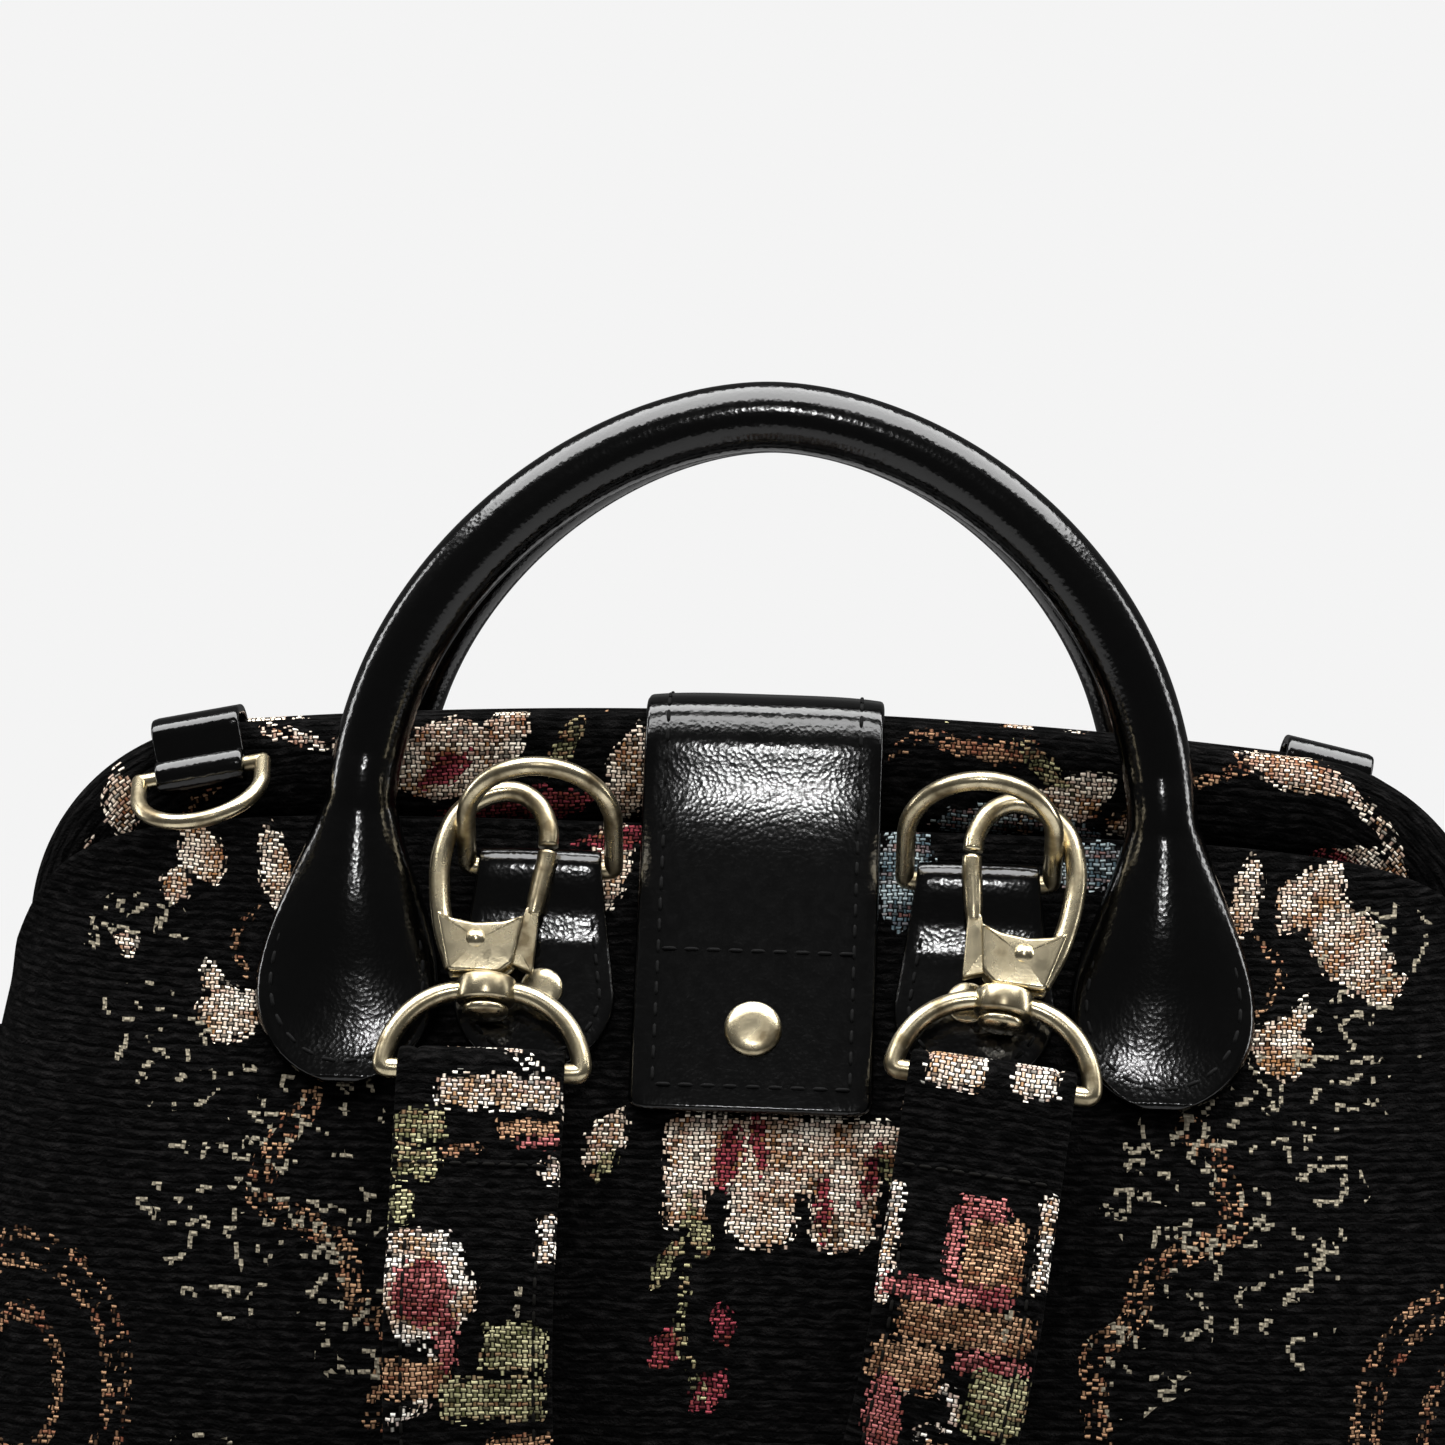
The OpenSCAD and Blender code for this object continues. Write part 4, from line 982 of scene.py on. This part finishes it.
def on_side(side, x, y, z):
    """Point at a corner of the mouth: x along the arch, y out of the bag, z up from the arch."""
    x, y, z = np.broadcast_arrays(x, y, z)
    c, s = math.cos(SIDE_TURN), math.sin(SIDE_TURN)
    p = np.stack([CORNER_R - MOUTH_W / 2 + x * c - (z + CORNER_R) * s, y,
                  BAG_H - MOUTH_SAG - CORNER_R + x * s + (z + CORNER_R) * c], -1)
    return p * [-side, -side, 1]


def side_tab(side):
    """A strip that lies over the sleeve and curls round the side ring's bar."""
    name = "side_tab_" + SIDES[side]
    a = np.radians(np.linspace(0, -292, 40))
    fold = np.array(SIDE_BAR) + SIDE_FOLD_R * np.stack([np.cos(a), np.sin(a)], 1)
    line = np.vstack([[[-0.35, -12], [-0.4, 0], [-2.4, 1.75], [-11.5, 1.75], [-14.4, 0.3]], fold])
    line = rounded(line, step=0.6, reach=1.2)
    path = on_side(side, 0.0, line[:, 0], line[:, 1])
    axis = on_side(side, -1.0, 0.0, 0.0) - on_side(side, 0.0, 0.0, 0.0)
    shape = strip(path, ribbon(SIDE_TAB_W, TAB_LEATHER_T, parts=14, puff=0.15), axis)
    dressed(name + "_leather", shape, "leather", "bag" if side < 0 else "front_mouth", name)


for side in SIDES:
    side_tab(side)


# Shoulder straps

# Place of the clasps on the back, how the right one is turned, and the straps' side view
CLASP_OUT, CLASP_X, CLASP_S = 11.0, -8.8, -25.4253
CLASP_TURN, TURN_SHIFT, TURN_X, TURN_Z = math.radians(7), 1.3, -5.8, 36.0
LOOP_DROP, END_LEN, SEWN_IN, BAR_FOLD_R, HALF_FOLD = 19.3, 42.8, 3.6, 3.5, 5.5
RUN_Z, RUN_Y = 161.998, -67.973
RUN_UP, TUCK = 7.0, 1.6
RUN_CLEAR, FLOOR_Z, TOP_Z, TURN_R, HAIRPIN_R, ANCHOR_Y = 76.9, 1.9, 6.5, 18.0, 2.3, 71.4
# The straps lean in by these angles, which they reach over a length below the clasps
LEFT_LEAN, RIGHT_LEAN, LEAN_OVER = math.radians(2.5), math.radians(15), 40


def on_clasp(side, x, y, z):
    """Point in the frame of a clasp: x across, y into the bag, z up its post; the right one hangs turned."""
    x, y, z = (np.asarray(c, float) for c in np.broadcast_arrays(x, y, z))
    turn, shift = (CLASP_TURN, TURN_SHIFT) if side > 0 else (0.0, 0.0)
    x0, z0 = -side * x - TURN_X, z - TURN_Z
    x1, z1 = x0 * math.cos(turn) - z0 * math.sin(turn), x0 * math.sin(turn) + z0 * math.cos(turn)
    p = on_back(-RING_SPAN / 2 + CLASP_X + TURN_X - shift + x1, CLASP_OUT - y, CLASP_S + TURN_Z + z1)
    return p * [-side, 1, 1]


def strap_section(thick):
    """Section of a strap, with a sewn groove near each edge of its outer side."""
    line = ribbon(STRAP_W, thick, parts=44, puff=0.2)
    groove = 0.5 * np.exp(-((np.abs(line[:, 0]) - STRAP_W / 2 + SEWN_IN) / 0.6) ** 2)
    return line - np.stack([0 * groove, groove * (line[:, 1] > 0)], 1)


def cloth_strip(name, word, path, across, profile, down):
    """A strap of tapestry: its section carried along a path, with the pattern by length and by side."""
    verts, faces = capped(sweep(path, across, profile))
    u = np.sign(across[0, 0]) * np.broadcast_to(profile[..., 0], (len(path), profile.shape[-2])).ravel()
    v = np.repeat(down, profile.shape[-2])
    fields = motifs(STRAP_DESIGNS[word], u, -np.mod(v, STRAP_REPEAT))
    fields = {key: with_caps(f) for key, f in fields.items()}
    uv = np.stack([with_caps(u), with_caps(-v)], 1)
    piece = add_piece(name, verts, faces, [STRAP_CLOTH], uv, fields)
    return piece


def strap_end(side):
    """The end of a strap: its outer layer folds round the loop's bar and is sewn down behind."""
    word = SIDES[side]
    a = np.radians(np.linspace(175, 5, 18))
    fold = np.stack([BAR_FOLD_R * np.cos(a), BAR_FOLD_R * np.sin(a) - LOOP_DROP], 1)
    foot = -LOOP_DROP - END_LEN + RUN_UP
    line = np.vstack([[[0, foot], [0, foot + 3], [-1.1, -LOOP_DROP - 24], [-1.2, -LOOP_DROP - 19],
                       [-3.3, -LOOP_DROP - 3]], fold,
                      [[3.3, -LOOP_DROP - 3], [1.2, -LOOP_DROP - 19], [1.2, -LOOP_DROP - 27]]])
    line = rounded(line, step=0.8, reach=2.4)
    path = on_clasp(side, 0.0, line[:, 0], line[:, 1])
    axis = unit(on_clasp(side, -1.0, 0.0, 0.0) - on_clasp(side, 0.0, 0.0, 0.0))
    s = along(path)
    top = np.argmax(line[:, 1])
    thick = np.interp(s, [0, 3, 14], [STRAP_T + 0.06, STRAP_T, 2.1])
    piece = cloth_strip(f"strap_end_{word}_cloth", word, path, np.broadcast_to(axis, path.shape),
                        np.stack([strap_section(w) for w in thick]), np.abs(s[top] - s))

    def hold(made):
        """Bakes the end's placement into its points."""
        ends = [on_clasp(side, 0.0, 0.0, -LOOP_DROP - z) * MM for z in (33, 10)]
        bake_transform(made)
    hold(piece)
    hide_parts("strap_end_" + word)
    out = on_clasp(side, 0.0, -1.0, 0.0) - on_clasp(side, 0.0, 0.0, 0.0)
    points = on_clasp(side, np.linspace(-15, 15, 30), -2.5, -LOOP_DROP - 19.5)
    sew(f"strap_end_{word}_seam", points, np.broadcast_to(out, points.shape), hold)


def sew(name, points, normal, hold):
    """Short stitches in the straps' own thread."""
    stitches(name, points, normal, hold, pitch=3.2, length=2.5, width=0.7, material=STRAP_THREAD)


def strap_line():
    """Side view of a strap, (y, z): down the back, out on the floor, turned under and home."""
    rise = RUN_UP + TUCK
    top = [[RUN_Y + rise * math.sin(LEAN), RUN_Z + rise * math.cos(LEAN)]]
    f = np.linspace(0, 1, 60)
    down = np.stack([RUN_Y - (RUN_CLEAR + RUN_Y) * np.sin(f * math.pi / 2),
                     RUN_Z + (TOP_Z + TURN_R - RUN_Z) * f], 1)
    a = np.radians(np.linspace(5, 90, 18))
    bend = np.stack([-RUN_CLEAR - TURN_R + TURN_R * np.cos(a), TOP_Z + TURN_R - TURN_R * np.sin(a)], 1)
    end = -RUN_CLEAR - TURN_R - STRAP_LAY
    a = np.radians(np.linspace(0, 180, 15))
    turn = np.stack([end - HAIRPIN_R * np.sin(a), FLOOR_Z + HAIRPIN_R + HAIRPIN_R * np.cos(a)], 1)
    back = rounded(np.vstack([top, down]), step=1.6, reach=6.0)
    return np.vstack([back, bend, turn, [[-ANCHOR_Y, FLOOR_Z]]])


def shoulder_strap(side):
    """A strap along its side view; the left one leans in evenly, the right one turns in below its clasp."""
    word = SIDES[side]
    line = resample(strap_line(), step=1.6)
    fall = RUN_Z - np.maximum(line[:, 1], TOP_Z + TURN_R)
    f = np.minimum(fall / LEAN_OVER, 1)
    centre = RING_SPAN / 2 - CLASP_X
    if side < 0:
        x = math.tan(LEFT_LEAN) * fall * f - centre
    else:
        first, last = math.tan(CLASP_TURN), math.tan(RIGHT_LEAN)
        hung = TURN_Z + LOOP_DROP + END_LEN
        x = (centre + TURN_SHIFT - hung * math.sin(CLASP_TURN) - TURN_X * (math.cos(CLASP_TURN) - 1)
             - first * fall
             - (last - first) * np.where(fall < LEAN_OVER, fall * f / 2, fall - LEAN_OVER / 2))
    path = np.stack([x, line[:, 0], line[:, 1]], 1)
    t = unit(np.gradient(path, axis=0))
    v = unit(np.stack([0 * x, t[:, 2], -t[:, 1]], 1))
    across = unit(np.cross(v, t))
    down = along(path) + END_LEN - RUN_UP - TUCK + HALF_FOLD
    piece = cloth_strip(f"shoulder_strap_{word}_cloth", word, path, across, strap_section(STRAP_T), down)

    def hold(made):
        """Bakes the strap's placement into its points."""
        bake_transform(made)
    hold(piece)
    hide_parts("shoulder_strap_" + word)
    run = slice(0, 90)
    for edge, x in (("outer", -1), ("inner", 1)):
        points = path[run] + x * (STRAP_W / 2 - SEWN_IN) * across[run] + (STRAP_T / 2 - 0.35) * v[run]
        sew(f"shoulder_strap_{word}_stitches_{edge}", points, v[run], hold)


for side in SIDES:
    strap_end(side)
    shoulder_strap(side)


# Brass: rings, clasps, loops and rivets

WIRE = np.stack([f(np.linspace(0, 2 * math.pi, 20, endpoint=False)) for f in (np.cos, np.sin)], 1)


def closed_wire(path, radius):
    """A wire bent to a closed line in the plane y = 0."""
    path = path[:-1]
    t = unit(np.roll(path, -1, 0) - np.roll(path, 1, 0))
    out = np.stack([t[:, 2], 0 * t[:, 0], -t[:, 0]], 1)
    across = WIRE[None, :, :1] * out[:, None] + WIRE[None, :, 1:] * np.array([0, 1.0, 0])
    return closed(path[:, None] + radius * across)


def closed(rings):
    """Points and faces of a solid whose last ring joins its first."""
    n, k = rings.shape[:2]
    j = np.arange(k)
    nxt = (j + 1) % k
    last = np.stack([(n - 1) * k + j, (n - 1) * k + nxt, nxt, j], 1)
    return rings.reshape(-1, 3), np.vstack([grid_faces(n, k, wrap=True), last])


def open_wire(path, radius):
    """A wire along an open line in the plane y = 0; radius is a number or one per point."""
    size = np.broadcast_to(radius, (len(path),))[:, None, None]
    return capped(sweep(path, np.broadcast_to([0, 1.0, 0], path.shape), WIRE[None] * size))


def flat_line(points):
    """(x, z) pairs as points in the plane y = 0."""
    points = np.asarray(points, float)
    return np.stack([points[:, 0], 0 * points[:, 0], points[:, 1]], 1)


def eased_loop(points, step, reach):
    """A closed outline with its corners eased over a reach."""
    fine = resample(np.vstack([points, points[:1]]), step)[:-1]
    n = int(reach / step)
    return averaged(np.vstack([fine[-n:], fine, fine[:n]]), n)


def turned(profile, parts=40):
    """A solid of revolution about z from (radius, height) pairs."""
    profile = np.asarray(profile, float)
    a = np.linspace(0, 2 * math.pi, parts, endpoint=False)
    rings = np.stack([profile[:, :1] * np.cos(a), profile[:, :1] * np.sin(a), profile[:, 1:] + 0 * a], -1)
    return capped(rings)


def plate(outline, low, high, bevel, step=0.4):
    """A flat plate across y with eased corners and rounded edges."""
    line = eased_loop(np.asarray(outline, float), step, reach=1.2)
    t = unit(np.roll(line, -1, 0) - np.roll(line, 1, 0))
    inward = np.stack([-t[:, 1], t[:, 0]], 1)
    area = (line[:, 0] * np.roll(line[:, 1], -1) - line[:, 1] * np.roll(line[:, 0], -1)).sum()
    inward = inward if area > 0 else -inward
    a = np.linspace(0, math.pi / 2, 6)
    inset = np.concatenate([bevel * (1 - np.sin(a)), bevel * (1 - np.cos(a))])
    y = np.concatenate([low + bevel * (1 - np.cos(a)), high - bevel * (1 - np.sin(a))])
    ring = line[None] + inset[:, None, None] * inward[None]
    return capped(np.stack([ring[..., 0], np.broadcast_to(y[:, None], ring.shape[:2]), ring[..., 1]], -1))


def ring_line(r, h, ease):
    """Outline of a D ring: a straight bar at the foot and a half round arch."""
    a = np.linspace(0, math.pi, 60)
    arch = np.stack([r * np.cos(a), h - r + r * np.sin(a)], 1)
    line = eased_loop(np.vstack([[[-r, 0], [r, 0]], arch]), 0.5, ease)
    return flat_line(np.vstack([line, line[:1]]))


def tilted(verts, tilt):
    """Leans points out from the panel about the x axis, as (x, out, up)."""
    c, s = math.cos(math.radians(tilt)), math.sin(math.radians(tilt))
    return verts[:, 0], verts[:, 2] * s - verts[:, 1] * c, verts[:, 2] * c + verts[:, 1] * s


def strap_ring(side, r=14.6, h=27.0, wire=1.9, tilt=62):
    """A D ring of bent wire whose bar lies in its tab's fold, leaning out from the back."""
    word = SIDES[side]
    verts, faces = closed_wire(ring_line(r, h, ease=2.0), wire)
    x, out, up = tilted(verts, tilt)
    verts = on_back(side * RING_SPAN / 2 + x, BAR_OUT + out, up)
    dressed(f"strap_ring_{word}_brass", (verts, faces), "brass", word + "_clasp", "strap_ring_" + word)


# Outlines of the clasp's pieces, (x, z) from the foot of its post; post and collar are (radius, z)
HOOK_LINE = [(-6.3, 2), (-9.2, 10), (-10.5, 18), (-10.4, 26), (-7.7, 33.6), (-2.3, 37.9), (3.6, 38.9),
             (8.1, 36.2), (10.3, 31.4), (10.5, 27.6)]
CHEEK = [(-10.6, 12.6), (-7.6, 0.2), (2.4, 0), (5.0, 2.3), (6.7, 12.2), (2.5, 10.7), (-3, 10.3), (-7.5, 11.2)]
TANG = [(-2.5, 5.0), (6, 1.9), (8.8, 0.8), (9.6, 14.6), (6.9, 14.6), (5.6, 9.4), (-2.5, 9.2)]
GATE_LINE = [(8.2, 13), (8.7, 16), (9.5, 20.5), (10.2, 24), (10.45, 26.3)]
POST = [(0.01, 1.4), (2.95, 1.4), (2.95, -6.1), (4.3, -6.2), (4.5, -6.6), (4.5, -7.4), (3.7, -8.1),
        (0.01, -8.3)]
COLLAR = np.array([(3.1, -0.35), (5.1, -0.35), (5.6, -0.7), (5.8, -1.2), (5.8, -4.8), (5.6, -5.3),
                   (5.1, -5.65), (3.1, -5.65)])


def clasp(side):
    """Swivel clasp: bent hook, two cheeks, post, sprung gate and the loop that turns on the post."""
    word = SIDES[side]
    flip = np.array([-side, 1, 1])

    def fit(name, shape, body, *nodes):
        """Puts a piece made at the origin into its place on the clasp."""
        verts, faces = shape
        dressed(name, (on_clasp(side, *(verts * flip).T), faces), "brass", f"{word}_{body}", *nodes)

    def wire(points, step, lengths, radii):
        """A bent wire whose radius changes along its length; the last radius is at its end."""
        path = curve(flat_line(points), step)
        s = along(path)
        return open_wire(path, np.interp(s, lengths + [s[-1]], radii))

    hook = wire(HOOK_LINE, 0.6, [0, 12, 40], [2.3, 2.05, 2.15, 2.0])
    fit(f"hook_{word}_brass", hook, "clasp", "hook_" + word)
    for cheek, low, high in (("front", -3.3, -1.65), ("rear", 1.65, 3.3)):
        fit(f"hook_{word}_{cheek}_cheek", plate(CHEEK, low, high, bevel=0.75), "clasp")
    fit(f"hook_{word}_post", turned(POST), "clasp")
    fit(f"gate_{word}_tang", plate(TANG, -1.25, 1.25, bevel=0.4), "gate", "gate_" + word)
    fit(f"gate_{word}_bar", wire(GATE_LINE, 0.5, [0, 3, 9], [1.5, 1.8, 2.0, 1.95]), "gate")
    a = np.linspace(math.pi / 2, 0, 24)
    arc = np.stack([3 + 16.5 * np.cos(a), 16.5 * np.sin(a) - LOOP_DROP], 1)
    line = rounded(np.vstack([arc, arc[::-1] * [-1, 1]]), step=0.5, reach=2.2)
    fit(f"swivel_loop_{word}_brass", open_wire(flat_line(line), 2.0), "loop", "swivel_loop_" + word)
    a = np.linspace(0, 2 * math.pi, 40, endpoint=False)[:, None]
    rings = np.stack([COLLAR[:, 0] * np.cos(a), COLLAR[:, 0] * np.sin(a), COLLAR[:, 1] + 0 * a], -1)
    fit(f"swivel_loop_{word}_collar", closed(rings), "loop")


# A domed head of radius 1 and height 1, and the snap's inner half in millimetres: (radius, height)
RIVET_HEAD = np.array([(0.01, 1.0), (0.5, 0.97), (0.8, 0.84), (0.95, 0.55), (1.0, 0.2), (0.98, 0.0),
                       (0.01, 0.0)])
RIVET_DOME = 0.28
TAB_HEAD, FLAP_HEAD = (RIVET_HEAD * [r, RIVET_DOME * r] for r in (4.3, 5.7))
SNAP_STUD = [(0.01, -4.6), (4.3, -4.6), (4.7, -4.3), (4.7, -3.4), (0.01, -3.4)]
RIVET_UP = (FLAP_FOOT + 15 - BAR_Z) / math.cos(LEAN)
RIVET_OUT = LAY_GAP + LEATHER_T + 0.75


def fastener(name, profile, place, hold, front=False):
    """A turned head on the leaning panel, at x, out and up; on the strap side or on the front."""
    verts, faces = turned(profile)
    x, out, up = place
    points = on_back(x + verts[:, 0], out + verts[:, 2], up + verts[:, 1])
    dressed(name + "_brass", (points * [1, -1 if front else 1, 1], faces), "brass", hold, name)


for side, word in SIDES.items():
    strap_ring(side)
    clasp(side)
    tab_place = (side * (RING_SPAN / 2 - 1.5), 4.5, -RING_TAB_LEN * 0.55)
    fastener("tab_rivet_" + word, TAB_HEAD, tab_place, "bag")
fastener("flap_rivet", FLAP_HEAD, (0.0, RIVET_OUT, RIVET_UP), "bag")
fastener("snap_cap", FLAP_HEAD, (0.0, RIVET_OUT, RIVET_UP), "flap_front", front=True)
# The snap's inner half lies just inside the front panel
fastener("snap_stud", SNAP_STUD, (0.0, 0.0, RIVET_UP), bend_with_mouth, front=True)


# Studio

def area_light(name, place, aim, size, power, spread=180):
    """A soft box: place, aim and size in metres, power in watts, spread in degrees."""
    light = bpy.data.lights.new(name, "AREA")
    light.shape = "RECTANGLE"
    light.size, light.size_y = size
    light.energy, light.spread = power, math.radians(spread)
    obj = bpy.data.objects.new(name, light)
    obj.location = Vector(place)
    obj.rotation_euler = (Vector(aim) - Vector(place)).to_track_quat("-Z", "Y").to_euler()
    bpy.context.scene.collection.objects.link(obj)


def floor_disc(radius, parts=96):
    """A round grey floor, radius in metres."""
    turn = np.linspace(0, 2 * math.pi, parts, endpoint=False)
    verts = np.stack([radius * np.cos(turn), radius * np.sin(turn), 0 * turn], 1)
    mesh = bpy.data.meshes.new("floor")
    mesh.from_pydata(verts.tolist(), [], [list(range(parts))])
    mesh.materials.append(plain("floor", "#949494", 0.9))
    obj = bpy.data.objects.new("floor", mesh)
    bpy.context.scene.collection.objects.link(obj)
    return obj


def studio_world(backdrop, ambient):
    """A pale backdrop for the camera and a dimmer, even light for the object."""
    world = bpy.data.worlds.new("studio")
    bpy.context.scene.world = world
    world.use_nodes = True
    tree = world.node_tree
    seen = node(tree, "LightPath", out="Is Camera Ray")
    strength = node(tree, "MapRange", {0: seen, 3: ambient, 4: 1.0})
    fill(tree, tree.nodes["Background"], {"Color": backdrop, "Strength": strength})


PICTURE_W = 1445


def add_camera(azimuth, elevation, roll, distance, focal, target):
    """Camera on the strap side: angles in degrees, lengths in millimetres, focal length in pixels."""
    az, el, ro = (math.radians(v) for v in (azimuth, elevation, roll))
    back = np.array([math.sin(az) * math.cos(el), -math.cos(az) * math.cos(el), math.sin(el)])
    right = np.array([math.cos(az), math.sin(az), 0])
    up = np.cross(back, right)
    side = math.cos(ro) * right + math.sin(ro) * up
    top = math.cos(ro) * up - math.sin(ro) * right
    place = (np.array(target) + distance * back) * MM
    data = bpy.data.cameras.new("camera")
    data.sensor_width = 36
    data.lens = focal / PICTURE_W * data.sensor_width
    data.clip_start = 0.01
    obj = bpy.data.objects.new("camera", data)
    turn = np.eye(4)
    turn[:3, 0], turn[:3, 1], turn[:3, 2], turn[:3, 3] = side, top, back, place
    obj.matrix_world = Matrix(turn.tolist())
    bpy.context.scene.collection.objects.link(obj)
    bpy.context.scene.camera = obj


floor_disc(radius=0.62)
bpy.context.scene.view_settings.view_transform = "Standard"
studio_world("#F4F4F4", ambient=0.1)
area_light("top", (0.0, -0.1, 1.15), (0, -0.1, 0.25), (2.0, 0.9), 60)
area_light("front", (0.0, -1.08, 0.79), (0, 0, 0.25), (0.18, 0.25), 0.026, spread=8)
area_light("left_rim", (-1.1, 0.25, 0.5), (0, 0, 0.25), (0.18, 0.9), 5)
area_light("right_rim", (1.1, 0.1, 0.55), (0, 0, 0.25), (0.18, 0.9), 5)
add_camera(azimuth=1.511, elevation=2.994, roll=1.791, distance=996.25, focal=4989.6,
           target=(-8.344, -20, 268.739))
